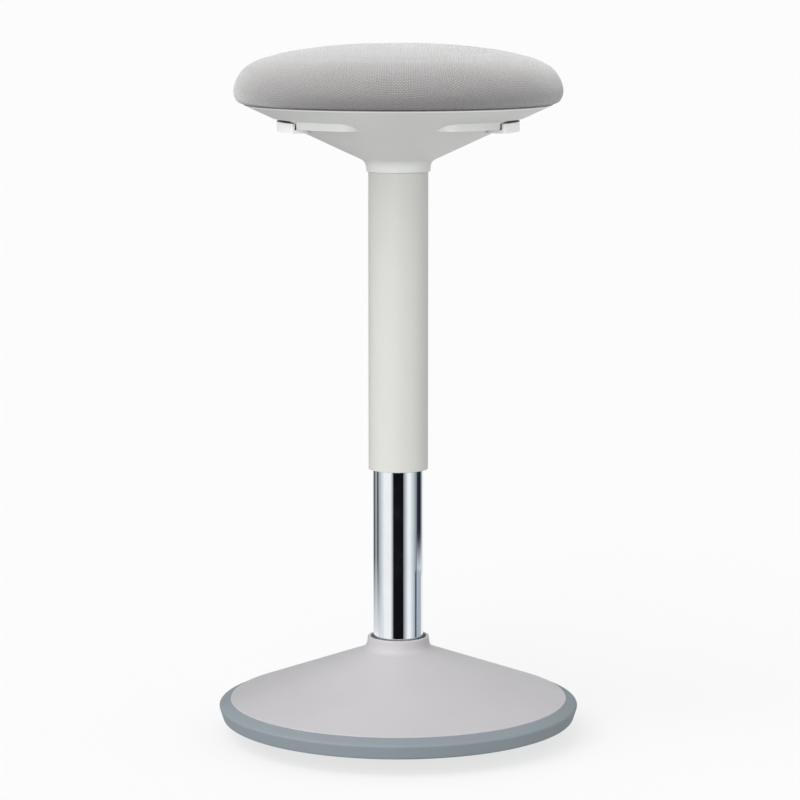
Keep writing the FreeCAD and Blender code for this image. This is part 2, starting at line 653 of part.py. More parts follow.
def make_base_pan():
    """Moulded pan inside the rubber, with a thick middle, radial ribs and bosses for the screws."""
    body = new_body("base_pan")
    rise = tangent(S.foot_dome_angle)
    edge_bottom = (S.cover_rim_radius - DOME_CORNER) * rise + S.foot_thickness
    revolve(body, "skin", [
        (0, PAN_CENTRE_BOTTOM),
        (DOME_CORNER, PAN_CENTRE_BOTTOM, Reach(DOME_REACH)),
        (S.cover_rim_radius, edge_bottom),
        (S.cover_rim_radius, edge_bottom + S.pan_skin),
        (DOME_CORNER, PAN_CENTRE_BOTTOM + S.pan_skin, Reach(DOME_REACH)),
        (0, PAN_CENTRE_BOTTOM + S.pan_skin),
    ])
    revolve(body, "centre", [
        (0, PAN_CENTRE_BOTTOM + S.pan_skin / 2),
        (S.pan_centre_radius, pan_bottom(S.pan_centre_radius) + S.pan_skin / 2),
        (S.pan_centre_radius, PAN_CENTRE_TOP),
        (0, PAN_CENTRE_TOP),
    ])
    rib_middle = (S.pan_centre_radius + S.weight_outer_radius) / 2
    rib_sketch = draw_outline(new_sketch(body, "rib_side", "XZ_Plane"), [
        (S.pan_centre_radius - 2, PAN_CENTRE_BOTTOM + S.pan_skin / 2),
        (rib_middle, pan_bottom(rib_middle) + 1),
        (S.weight_outer_radius, pan_bottom(S.weight_outer_radius) + 1),
        (S.foot_screw_circle, pan_bottom(S.foot_screw_circle) + 1),
        (S.foot_screw_circle, pan_top(S.foot_screw_circle) + 1.5),
        (S.weight_outer_radius + 2, PAN_LEDGE_HEIGHT),
        (S.weight_inner_radius, PAN_LEDGE_HEIGHT),
        (S.pan_centre_radius - 2, PAN_CENTRE_TOP),
    ])
    rib = pad(body, "rib", rib_sketch, S.pan_rib_width, "Symmetric")
    ring_pattern(body, "ribs", [rib], S.foot_screw_count * 2)
    boss_place = new_sketch(body, "weight_boss_place", "XY_Plane", PAN_CENTRE_BOTTOM + S.pan_skin * 2)
    draw_circle(boss_place, 0, S.weight_bolt_circle, S.weight_bolt_radius * 2)
    boss = pad(body, "weight_boss", boss_place, PAN_LEDGE_HEIGHT - PAN_CENTRE_BOTTOM - S.pan_skin * 2)
    tap_floor = PAN_LEDGE_HEIGHT - S.weight_bolt_radius * 1.5
    tap_place = new_sketch(body, "weight_tap_place", "XY_Plane", tap_floor)
    draw_circle(tap_place, 0, S.weight_bolt_circle, S.weight_bolt_radius)
    tap = pocket(body, "weight_tap", tap_place, PAN_LEDGE_HEIGHT)
    ring_pattern(body, "weight_bosses", [boss, tap], 3)
    screw_place = new_sketch(body, "screw_place", "XY_Plane")
    draw_circle(screw_place, S.foot_screw_circle, 0, S.foot_screw_radius)
    screw_hole = pocket(body, "screw_hole", screw_place, PAN_LEDGE_HEIGHT * 3)
    ring_pattern(body, "screw_holes", [screw_hole], S.foot_screw_count)
    hub_place = new_sketch(body, "hub_tap_place", "XY_Plane", PAN_CENTRE_BOTTOM + 2)
    draw_circle(hub_place, S.hub_bolt_circle, 0, S.hub_bolt_radius)
    hub_tap = pocket(body, "hub_tap", hub_place, S.pan_centre_thickness)
    ring_pattern(body, "hub_taps", [hub_tap], 4)
    return body


def make_base_cover():
    """Moulded cone over the base with its collar, ribs and screw bosses."""
    body = new_body("base_cover")
    inner_rim = S.cover_rim_radius - S.cover_wall
    collar_bore = S.column_radius + S.collar_gap
    depth = S.cover_wall / cosine(S.cover_slope)
    inner_foot = S.collar_foot_radius - 1
    revolve(body, "cone", [
        (inner_rim, pan_top(inner_rim) + 0.3),
        (S.cover_rim_radius, pan_top(S.cover_rim_radius) + 0.3),
        (S.cover_rim_radius, SEAM_HEIGHT + 0.6, 0.6),
        (S.collar_foot_radius, COVER_TOP_CORNER, S.collar_blend),
        (S.collar_radius, COLLAR_TOP, 1.2),
        (collar_bore, COLLAR_TOP, 0.8),
        (collar_bore, COVER_TOP_CORNER),
        (inner_foot + S.collar_blend, cover_height(inner_foot + S.collar_blend) - depth),
        (inner_rim, cover_height(inner_rim) - depth),
    ])
    rib_inner = S.hub_radius + 14
    rib_outer = S.foot_screw_circle + 4
    rib_sketch = draw_outline(new_sketch(body, "rib_side", "XZ_Plane"), [
        (rib_inner, cover_height(rib_inner) - depth * 0.6),
        (rib_inner, cover_height(rib_inner) - depth - S.cover_rib_height),
        (rib_outer, cover_height(rib_outer) - depth - S.cover_rib_height),
        (rib_outer, cover_height(rib_outer) - depth * 0.6),
    ])
    rib = pad(body, "rib", rib_sketch, S.cover_rib_width, "Symmetric")
    ring_pattern(body, "ribs", [rib], S.foot_screw_count * 2)
    boss_bottom = pan_top(S.foot_screw_circle) + 1.5
    boss_length = cover_height(S.foot_screw_circle) - depth * 0.6 - boss_bottom
    boss_place = new_sketch(body, "boss_place", "XY_Plane", boss_bottom)
    draw_circle(boss_place, S.foot_screw_circle, 0, S.foot_screw_radius * 2.2)
    boss = pad(body, "boss", boss_place, boss_length - S.foot_screw_radius)
    tap_place = new_sketch(body, "tap_place", "XY_Plane", boss_bottom)
    draw_circle(tap_place, S.foot_screw_circle, 0, S.foot_screw_radius)
    tap = pocket(body, "tap", tap_place, S.foot_screw_reach)
    ring_pattern(body, "bosses", [boss, tap], S.foot_screw_count)
    return body


def make_column_hub():
    """Turned hub on the pan: a flange and a barrel bored to the column's taper."""
    body = new_body("column_hub")
    flange_top = PAN_CENTRE_TOP + S.hub_flange_thickness
    narrow = S.column_radius - S.column_taper
    revolve(body, "turned", [
        (narrow, PAN_CENTRE_TOP),
        (S.hub_flange_radius, PAN_CENTRE_TOP, 0.8),
        (S.hub_flange_radius, flange_top, 0.8),
        (S.hub_radius, flange_top, 2.5),
        (S.hub_radius, HUB_TOP, 1.2),
        (S.column_radius, HUB_TOP),
        (narrow, COLUMN_BOTTOM),
    ])
    bolt_place = new_sketch(body, "bolt_place", "XY_Plane")
    draw_circle(bolt_place, S.hub_bolt_circle, 0, S.hub_bolt_radius)
    bolt_hole = pocket(body, "bolt_hole", bolt_place, flange_top + 1)
    ring_pattern(body, "bolt_holes", [bolt_hole], 4)
    return body


def make_weight_ring():
    """Cast ring that keeps the stool's weight low."""
    body = new_body("weight_ring")
    revolve(body, "casting", [
        (S.weight_inner_radius, PAN_LEDGE_HEIGHT, 1.5),
        (S.weight_outer_radius, PAN_LEDGE_HEIGHT, 1.5),
        (S.weight_outer_radius - 2, WEIGHT_TOP, 4),
        (S.weight_inner_radius + 2, WEIGHT_TOP, 4),
    ])
    bolt_place = new_sketch(body, "bolt_place", "XY_Plane")
    draw_circle(bolt_place, 0, S.weight_bolt_circle, S.weight_bolt_radius)
    bolt_hole = pocket(body, "bolt_hole", bolt_place, WEIGHT_TOP + 1)
    ring_pattern(body, "bolt_holes", [bolt_hole], 3)
    return body


def make_column_tube():
    """Chromed column: tapered at its foot, closed below but for the rod."""
    body = new_body("column_tube")
    narrow = S.column_radius - S.column_taper
    revolve(body, "tube", [
        (S.rod_neck_radius + 0.3, COLUMN_BOTTOM),
        (narrow, COLUMN_BOTTOM),
        (S.column_radius, HUB_TOP),
        (S.column_radius, S.column_top, 0.6),
        (COLUMN_BORE, S.column_top),
        (COLUMN_BORE, COLUMN_FLOOR_TOP + 6),
        (COLUMN_BORE - 1.2, COLUMN_FLOOR_TOP, 1),
        (S.rod_neck_radius + 0.3, COLUMN_FLOOR_TOP),
    ])
    return body


def make_column_bush():
    """Plastic bush in the column's mouth that guides the gas cylinder."""
    body = new_body("column_bush")
    guide = S.cylinder_radius + S.running_clearance
    flange = S.column_radius - 0.6
    revolve(body, "bush", [
        (guide, S.column_top - S.bush_length),
        (COLUMN_BORE, S.column_top - S.bush_length),
        (COLUMN_BORE, S.column_top),
        (flange, S.column_top),
        (flange, S.column_top + S.bush_flange, 0.6),
        (guide, S.column_top + S.bush_flange, 0.5),
    ])
    return body


def make_thrust_bearing():
    """Two washers with a ring of balls, between the column's floor and the bump stop."""
    bore = S.rod_neck_radius.number + 0.3
    outside = S.bearing_radius.number
    washer = S.bearing_washer.number
    ball = S.ball_radius.number
    floor = COLUMN_FLOOR_TOP.number
    middle = (bore + outside) / 2
    track = floor + washer + ball
    solids = [ring_solid(bore, outside, floor, floor + washer)]
    solids.append(ring_solid(bore, outside, floor + washer + 2 * ball, BEARING_TOP.number))
    for place in around(S.ball_count.number, middle):
        solids.append(Part.makeSphere(ball, place + vector(0, 0, track)))
    return new_group("thrust_bearing", solids)


def make_bump_stop():
    """Rubber ring that the gas cylinder meets at the bottom of its travel."""
    body = new_body("bump_stop")
    revolve(body, "ring", [
        (S.rod_radius + 0.6, BEARING_TOP),
        (S.bearing_radius, BEARING_TOP, 1),
        (S.bearing_radius - 2, BEARING_TOP + S.bump_height, 2.5),
        (S.rod_radius + 0.6, BEARING_TOP + S.bump_height, 1),
    ])
    return body


def make_base_fasteners():
    """Hub bolts and weight bolts, all driven from above."""
    flange_top = (PAN_CENTRE_TOP + S.hub_flange_thickness).number
    bolt = S.hub_bolt_radius.number
    reach = flange_top - PAN_CENTRE_BOTTOM.number - 2
    new_group("hub_bolts", [
        hex_socket_screw(bolt, bolt * 1.6, bolt * 1.6, flange_top, reach, place.x, place.y, False)
        for place in around(4, S.hub_bolt_circle.number)
    ])
    bolt = S.weight_bolt_radius.number
    reach = S.weight_thickness.number + bolt * 1.5
    new_group("weight_bolts", [
        hex_socket_screw(bolt, bolt * 1.7, bolt, WEIGHT_TOP.number, reach, place.x, place.y, False)
        for place in around(3, S.weight_bolt_circle.number, 90)
    ])
    screw = S.foot_screw_radius.number
    seat = FOOT_SCREW_SEAT.number
    tip = (pan_top(S.foot_screw_circle) + 1.5 + S.foot_screw_reach - 1).number
    new_group("foot_screws", [
        hex_socket_screw(screw, FOOT_SCREW_HEAD.number, screw, seat, tip - seat, place.x, place.y, True)
        for place in around(S.foot_screw_count.number, S.foot_screw_circle.number)
    ])


# Rod, which turns in the column's floor

def make_piston_rod():
    """Steel rod with a shoulder on the thrust bearing and a groove for its clip."""
    body = new_body("piston_rod")
    washer_bottom = COLUMN_BOTTOM - S.clip_washer
    revolve(body, "turned", [
        (0, ROD_END),
        (S.rod_neck_radius, ROD_END, 0.6),
        (S.rod_neck_radius, washer_bottom - S.clip_thickness),
        (S.rod_neck_radius - 0.8, washer_bottom - S.clip_thickness),
        (S.rod_neck_radius - 0.8, washer_bottom),
        (S.rod_neck_radius, washer_bottom),
        (S.rod_neck_radius, BEARING_TOP),
        (S.rod_radius, BEARING_TOP),
        (S.rod_radius, S.rod_top, 0.6),
        (0, S.rod_top),
    ])
    return body


def make_retaining_clip():
    """Open spring clip in the rod's groove."""
    body = new_body("retaining_clip")
    face = new_sketch(body, "clip_face", "XY_Plane", COLUMN_BOTTOM - S.clip_washer - S.clip_thickness)
    draw_sector(face, S.rod_neck_radius - 0.8, S.clip_radius - 1.5, 35, 325, 1, 1)
    pad(body, "clip", face, S.clip_thickness)
    return body


def make_clip_washer():
    """Washer between the clip and the column's floor."""
    body = new_body("clip_washer")
    face = new_sketch(body, "washer_face", "XY_Plane", COLUMN_BOTTOM - S.clip_washer)
    draw_circle(face, 0, 0, S.clip_radius)
    draw_circle(face, 0, 0, S.rod_neck_radius)
    pad(body, "washer", face, S.clip_washer - 0.1)
    return body


def make_piston():
    """Piston on the rod's upper end, with its seal groove."""
    body = new_body("piston")
    top = S.rod_top - S.piston_drop + S.piston_length / 2
    bottom = top - S.piston_length
    outside = CYLINDER_BORE - S.running_clearance
    revolve(body, "turned", [
        (S.rod_radius, bottom),
        (outside, bottom, 0.8),
        (outside, bottom + S.piston_length * 0.35),
        (outside - 1.5, bottom + S.piston_length * 0.35),
        (outside - 1.5, top - S.piston_length * 0.35),
        (outside, top - S.piston_length * 0.35),
        (outside, top, 0.8),
        (S.rod_radius, top),
    ])
    return body


# Gas cylinder, which rises with the seat

def make_gas_cylinder():
    """Gas cylinder with its tapered head and the bore of the release button."""
    body = new_body("gas_cylinder")
    head = S.cylinder_radius - S.cylinder_taper
    button_bore = S.button_radius + S.running_clearance
    button_floor = CYLINDER_TOP + S.button_stand - S.button_length - S.button_travel
    revolve(body, "turned", [
        (CYLINDER_BORE - 1.5, S.cylinder_bottom),
        (S.cylinder_radius, S.cylinder_bottom, 1),
        (S.cylinder_radius, BRACKET_HUB_BOTTOM),
        (head, WEB_TOP),
        (head, CYLINDER_TOP, 0.8),
        (button_bore, CYLINDER_TOP),
        (button_bore, button_floor),
        (0, button_floor),
        (0, CYLINDER_TOP - S.cylinder_plug),
        (CYLINDER_BORE, CYLINDER_TOP - S.cylinder_plug, 1),
        (CYLINDER_BORE, S.cylinder_bottom + S.cylinder_lip),
        (CYLINDER_BORE - 1.5, S.cylinder_bottom + S.cylinder_lip),
    ])
    return body


def make_rod_gland():
    """Gland in the cylinder's lower end that seals and guides the rod."""
    body = new_body("rod_gland")
    bottom = S.cylinder_bottom + S.cylinder_lip
    revolve(body, "turned", [
        (S.rod_radius + S.running_clearance, bottom),
        (CYLINDER_BORE, bottom),
        (CYLINDER_BORE, bottom + S.gland_length, 0.8),
        (S.rod_radius + S.running_clearance, bottom + S.gland_length, 0.8),
    ])
    return body


def make_release_button():
    """Button in the cylinder's head: pressed down it lets the height change."""
    body = new_body("release_button")
    revolve(body, "turned", [
        (0, BUTTON_TOP - S.button_length),
        (S.button_radius, BUTTON_TOP - S.button_length, 0.5),
        (S.button_radius, BUTTON_TOP, 0.8),
        (0, BUTTON_TOP),
    ])
    return body


# Seat

def bracket_bolt_places():
    """Places of the bracket bolts, at the corners of a rectangle."""
    corners = [(-1, -1), (-1, 1), (1, -1), (1, 1)]
    return [(left * S.bracket_bolt_x, back * S.bracket_bolt_y) for left, back in corners]


def shell_screw_places():
    """Places of the shell screws, one in each hand grip."""
    across = S.shell_screw_circle * cosine(S.shell_screw_angle)
    along = S.shell_screw_circle * sine(S.shell_screw_angle)
    return [(-across, -along), (-across, along), (across, -along), (across, along)]


def make_seat_bracket():
    """Stamped top-hat bracket with its welded taper hub, bolt holes and pivot holes."""
    body = new_body("seat_bracket")
    wall_outer = S.bracket_width / 2
    wall_inner = wall_outer - S.bracket_steel
    flange_edge = wall_outer + S.bracket_flange
    flange_bottom = BOARD_BOTTOM - S.bracket_steel
    outer_bend = S.bracket_bend + S.bracket_steel
    hat = draw_outline(new_sketch(body, "hat_section", "YZ_Plane"), [
        (-flange_edge, flange_bottom),
        (-wall_outer, flange_bottom, S.bracket_bend),
        (-wall_outer, BRACKET_BOTTOM, outer_bend),
        (wall_outer, BRACKET_BOTTOM, outer_bend),
        (wall_outer, flange_bottom, S.bracket_bend),
        (flange_edge, flange_bottom),
        (flange_edge, BOARD_BOTTOM),
        (wall_inner, BOARD_BOTTOM, outer_bend),
        (wall_inner, WEB_TOP, S.bracket_bend),
        (-wall_inner, WEB_TOP, S.bracket_bend),
        (-wall_inner, BOARD_BOTTOM, outer_bend),
        (-flange_edge, BOARD_BOTTOM),
    ])
    pad(body, "hat", hat, S.bracket_length, "Symmetric")
    hub_place = new_sketch(body, "hub_place", "XY_Plane", BRACKET_HUB_BOTTOM)
    draw_circle(hub_place, 0, 0, S.bracket_hub_radius)
    pad(body, "hub", hub_place, S.bracket_hub_drop + S.bracket_steel / 2)
    groove(body, "hub_taper", [
        (0, BRACKET_HUB_BOTTOM),
        (S.cylinder_radius, BRACKET_HUB_BOTTOM),
        (S.cylinder_radius - S.cylinder_taper, WEB_TOP),
        (0, WEB_TOP),
    ])
    bolt_place = new_sketch(body, "bolt_place", "XY_Plane", flange_bottom)
    for across, along in bracket_bolt_places():
        draw_circle(bolt_place, across, along, S.bracket_bolt_radius)
    pocket(body, "bolt_holes", bolt_place, S.bracket_steel)
    pin_place = new_sketch(body, "pin_place", "XZ_Plane")
    for side in (-1, 1):
        draw_circle(pin_place, side * S.pivot_x, PIVOT_HEIGHT, S.pin_radius)
    pocket(body, "pin_holes", pin_place, S.bracket_width, "Symmetric")
    return body


def make_seat_board():
    """Round plywood board with rounded edges, holes for the bolts and bites for the screws."""
    body = new_body("seat_board")
    revolve(body, "disc", [
        (0, BOARD_BOTTOM),
        (S.board_radius, BOARD_BOTTOM, 1),
        (S.board_radius, BOARD_TOP, 3),
        (0, BOARD_TOP),
    ])
    bolt_place = new_sketch(body, "tee_nut_place", "XY_Plane", BOARD_BOTTOM)
    for across, along in bracket_bolt_places():
        draw_circle(bolt_place, across, along, S.bracket_bolt_radius + TEE_NUT_WALL)
    pocket(body, "tee_nut_holes", bolt_place, S.board_thickness)
    flange_place = new_sketch(body, "tee_flange_place", "XY_Plane", BOARD_TOP - TEE_NUT_FLANGE)
    for across, along in bracket_bolt_places():
        draw_circle(flange_place, across, along, S.bracket_bolt_radius * 3)
    pocket(body, "tee_flange_seats", flange_place, TEE_NUT_FLANGE)
    screw_place = new_sketch(body, "screw_place", "XY_Plane", BOARD_BOTTOM)
    for across, along in shell_screw_places():
        draw_circle(screw_place, across, along, S.shell_screw_radius)
    pocket(body, "screw_bites", screw_place, S.shell_screw_bite)
    return body


def cushion_corners(inset):
    """Half section of the cushion from the crown to the widest part, drawn in by an inset."""
    top = RIM + S.seat_height
    waist = S.board_radius + S.waist_margin
    shoulder = waist - S.shoulder_width
    slope = shoulder - S.slope_width
    crown = slope * S.crown_share
    return [
        (0, top - inset),
        (crown - inset * 0.06, top - inset, Reach(crown * S.crown_reach_share)),
        (slope - inset * 0.24, top - S.slope_fall - inset * 0.98, Reach(S.slope_reach)),
        (shoulder - inset * 0.68, top - S.shoulder_fall - inset * 0.82, Reach(S.shoulder_reach)),
        (waist - inset * 1.23, RIM + S.waist_height, Reach(S.waist_reach)),
    ]


def make_seat_foam():
    """Moulded foam with a low crown, rounded shoulder and drawn-in lower edge, over the board."""
    body = new_body("seat_foam")
    revolve(body, "form", cushion_corners(S.fabric) + [
        ((S.board_radius + S.tuck_margin) - S.fabric, BOARD_BOTTOM),
        (S.board_radius, BOARD_BOTTOM),
        (S.board_radius, BOARD_TOP),
        (0, BOARD_TOP),
    ])
    return body


def make_seat_cover():
    """Woven cover over the foam, turned in under the board to its hem."""
    body = new_body("seat_cover")
    inner = cushion_corners(S.fabric)
    inner.reverse()
    revolve(body, "skin", cushion_corners(as_size(0)) + [
        ((S.board_radius + S.tuck_margin), RIM, 0.8),
        (S.board_radius - S.hem_width, RIM),
        (S.board_radius - S.hem_width, BOARD_BOTTOM),
        ((S.board_radius + S.tuck_margin) - S.fabric, BOARD_BOTTOM),
    ] + inner)
    return body


def make_staples():
    """Wire staples driven up through the hem into the board."""
    wire = S.staple_wire.number
    width = S.staple_width.number
    low = RIM.number - wire
    leg_height = S.staple_leg.number + wire
    solids = []
    for place in around(S.staple_count.number, S.staple_circle.number, 7.5):
        back = Part.makeBox(wire, width, wire, vector(-wire / 2, -width / 2, low))
        first = Part.makeBox(wire, wire, leg_height, vector(-wire / 2, -width / 2, low))
        second = Part.makeBox(wire, wire, leg_height, vector(-wire / 2, width / 2 - wire, low))
        staple = back.multiFuse([first, second]).removeSplitter()
        staple.rotate(vector(0, 0), vector(0, 0, 1), math.degrees(math.atan2(place.y, place.x)))
        staple.translate(vector(place.x, place.y))
        solids.append(staple)
    return new_group("staples", solids)


def make_seat_fasteners():
    """Tee nuts, bracket bolts with their washers, and the pivot pins."""
    bolt = S.bracket_bolt_radius.number
    seat = BRACKET_BOLT_SEAT.number
    washer = 1.0
    wall = TEE_NUT_WALL.number
    flange = TEE_NUT_FLANGE.number
    places = [(across.number, along.number) for across, along in bracket_bolt_places()]
    low = BOARD_BOTTOM.number + 1.5
    top = BOARD_TOP.number
    tee_nuts = []
    for place in places:
        barrel = ring_solid(bolt, bolt + wall, low, top, *place)
        tee_nuts.append(barrel.fuse(ring_solid(bolt, bolt * 3, top - flange, top, *place)))
    new_group("tee_nuts", tee_nuts)
    new_group("bracket_washers", [
        ring_solid(bolt, bolt * 2, seat - washer, seat, *place) for place in places
    ])
    reach = top - flange - (seat - washer)
    new_group("bracket_bolts", [
        hex_socket_screw(bolt, bolt * 1.65, bolt, seat - washer, reach, *place, True) for place in places
    ])
    screw = S.shell_screw_radius.number
    seat = SHELL_SCREW_SEAT.number
    tip = BOARD_BOTTOM.number + S.shell_screw_bite.number - 1
    places = [(across.number, along.number) for across, along in shell_screw_places()]
    new_group("shell_screws", [
        hex_socket_screw(screw, screw * 2, screw * 1.2, seat, tip - seat, *place, True) for place in places
    ])


def make_pivot_pins():
    """Headed pins across the bracket, one for each lever."""
    radius = S.pin_radius.number
    half = S.bracket_width.number / 2
    height = PIVOT_HEIGHT.number
    head = S.pin_head.number
    solids = []
    for side in (-1, 1):
        across = side * S.pivot_x.number
        along = vector(0, 1, 0)
        shank = Part.makeCylinder(radius, 2 * half + head, vector(across, -half, height), along)
        cap = Part.makeCylinder(radius * 1.5, head, vector(across, -half - head, height), along)
        stop = Part.makeCylinder(radius * 1.35, head, vector(across, half, height), along)
        solids.append(shank.multiFuse([cap, stop]).removeSplitter())
    return new_group("pivot_pins", solids)


def grip_sectors():
    """Start, end and outer roundings of the four hand grips, two beside each lever."""
    near = S.grip_start
    far = S.grip_end
    return [
        (near, far, GRIP_BLUNT, S.grip_blend),
        (180 - far, 180 - near, S.grip_blend, GRIP_BLUNT),
        (180 + near, 180 + far, GRIP_BLUNT, S.grip_blend),
        (360 - far, 360 - near, S.grip_blend, GRIP_BLUNT),
    ]


def hollow_round(rounding):
    """Rounding of a grip's hollow: a blunt corner keeps its radius, and a blended one loses the walls."""
    return rounding if rounding is GRIP_BLUNT else rounding - S.grip_wall * 2


def make_under_shell():
    """Moulded cone below the seat: neck, rim, lever openings, hollow hand grips, ribs and bosses."""
    body = new_body("under_shell")
    lip = RIM - S.shell_lip
    inner_rim = S.shell_rim_radius - S.shell_wall
    socket = S.sleeve_radius + S.running_clearance
    ledge = S.neck_radius + (SLEEVE_SEAT - NECK_CORNER - SHELL_DEPTH) / tangent(S.shell_slope)
    revolve(body, "cone", [
        (socket, NECK_BOTTOM),
        (S.neck_radius, NECK_BOTTOM, 0.6),
        (S.neck_radius, NECK_CORNER, S.neck_blend),
        (S.shell_rim_radius, lip, 0.5),
        (S.shell_rim_radius, RIM),
        (inner_rim, RIM),
        (ledge, SLEEVE_SEAT),
        (socket, SLEEVE_SEAT),
    ])
    grip_inner = S.window_inner_radius + 6
    grips = new_sketch(body, "grip_face", "XY_Plane", GRIP_BOTTOM)
    for start, end, start_round, end_round in grip_sectors():
        draw_sector(grips, grip_inner, S.grip_radius, start, end, start_round, end_round)
    pad(body, "grips", grips, shell_height(S.grip_radius) + 1.5 - GRIP_BOTTOM)
    hollows = new_sketch(body, "grip_hollow_face", "XY_Plane", GRIP_BOTTOM + S.grip_wall)
    for start, end, start_round, end_round in grip_sectors():
        draw_sector(
            hollows, grip_inner + S.grip_wall, S.grip_radius - S.grip_wall, start + 1.5, end - 1.5,
            hollow_round(start_round), hollow_round(end_round),
        )
    pocket(body, "grip_hollows", hollows, RIM - GRIP_BOTTOM)
    windows = new_sketch(body, "lever_window_face", "XY_Plane", NECK_BOTTOM)
    for middle in (0, 180):
        draw_sector(
            windows, S.window_inner_radius, S.window_outer_radius,
            middle - S.window_half_angle, middle + S.window_half_angle, 4, 4,
        )
    pocket(body, "lever_windows", windows, RIM - NECK_BOTTOM)
    rib_inner = S.neck_radius + 20
    rib_outer = S.grip_radius
    rib_end = S.grip_radius + 16
    for turn in (76, 90, 104, 256, 270, 284):
        side = new_sketch(body, f"rib_side_{turn}", "XZ_Plane")
        side.AttachmentOffset = FreeCAD.Placement(vector(0, 0), FreeCAD.Rotation(vector(0, 1), turn))
        draw_outline(side, [
            (rib_inner, shell_height(rib_inner) + SHELL_DEPTH / 2),
            (rib_end, shell_height(rib_end) + SHELL_DEPTH / 2),
            (rib_outer, shell_height(rib_outer) + SHELL_DEPTH + S.shell_rib_height),
            (rib_inner, shell_height(rib_inner) + SHELL_DEPTH + S.shell_rib_height),
        ])
        pad(body, f"rib_{turn}", side, S.shell_rib_width, "Symmetric")
    bosses = new_sketch(body, "boss_face", "XY_Plane", GRIP_BOTTOM + 1)
    heads = new_sketch(body, "screw_head_face", "XY_Plane", GRIP_BOTTOM - 1)
    shanks = new_sketch(body, "screw_shank_face", "XY_Plane", GRIP_BOTTOM - 1)
    for across, along in shell_screw_places():
        draw_circle(bosses, across, along, S.shell_screw_radius * 3.1)
        draw_circle(heads, across, along, S.shell_screw_radius * 2.25)
        draw_circle(shanks, across, along, S.shell_screw_radius)
    pad(body, "bosses", bosses, BOARD_BOTTOM - GRIP_BOTTOM - 1)
    pocket(body, "screw_heads", heads, SHELL_SCREW_SEAT - GRIP_BOTTOM + 1)
    pocket(body, "screw_shanks", shanks, S.neck_drop)
    return body


# Sleeve

def make_cover_sleeve():
    """Plain tube over the column, with a groove near its top for the retaining ring."""
    body = new_body("cover_sleeve")
    groove_bottom = S.sleeve_radius - S.sleeve_groove
    revolve(body, "tube", [
        (SLEEVE_BORE, SLEEVE_BOTTOM),
        (S.sleeve_radius, SLEEVE_BOTTOM, 0.6),
        (S.sleeve_radius, SLEEVE_SEAT),
        (groove_bottom, SLEEVE_SEAT),
        (groove_bottom, SLEEVE_SEAT + S.sleeve_ring_width),
        (S.sleeve_radius, SLEEVE_SEAT + S.sleeve_ring_width),
        (S.sleeve_radius, SLEEVE_TOP, 0.6),
        (SLEEVE_BORE, SLEEVE_TOP),
    ])
    return body


def make_sleeve_ring():
    """Open ring that snaps into the sleeve's groove and hangs it on the neck's ledge."""
    body = new_body("sleeve_ring")
    face = new_sketch(body, "ring_face", "XY_Plane", SLEEVE_SEAT)
    draw_sector(face, S.sleeve_radius - S.sleeve_groove, S.sleeve_ring_radius, 12, 348, 1.5, 1.5)
    pad(body, "ring", face, S.sleeve_ring_width)
    return body


def make_sleeve_guide():
    """Slippery bush in the sleeve's lower end, which runs on the column."""
    body = new_body("sleeve_guide")
    bore = S.column_radius + S.running_clearance
    revolve(body, "bush", [
        (bore, SLEEVE_BOTTOM + 0.6, 0.5),
        (SLEEVE_BORE, SLEEVE_BOTTOM + 0.6),
        (SLEEVE_BORE, SLEEVE_BOTTOM + S.sleeve_guide_length),
        (bore, SLEEVE_BOTTOM + S.sleeve_guide_length, 0.8),
    ])
    return body


# Levers

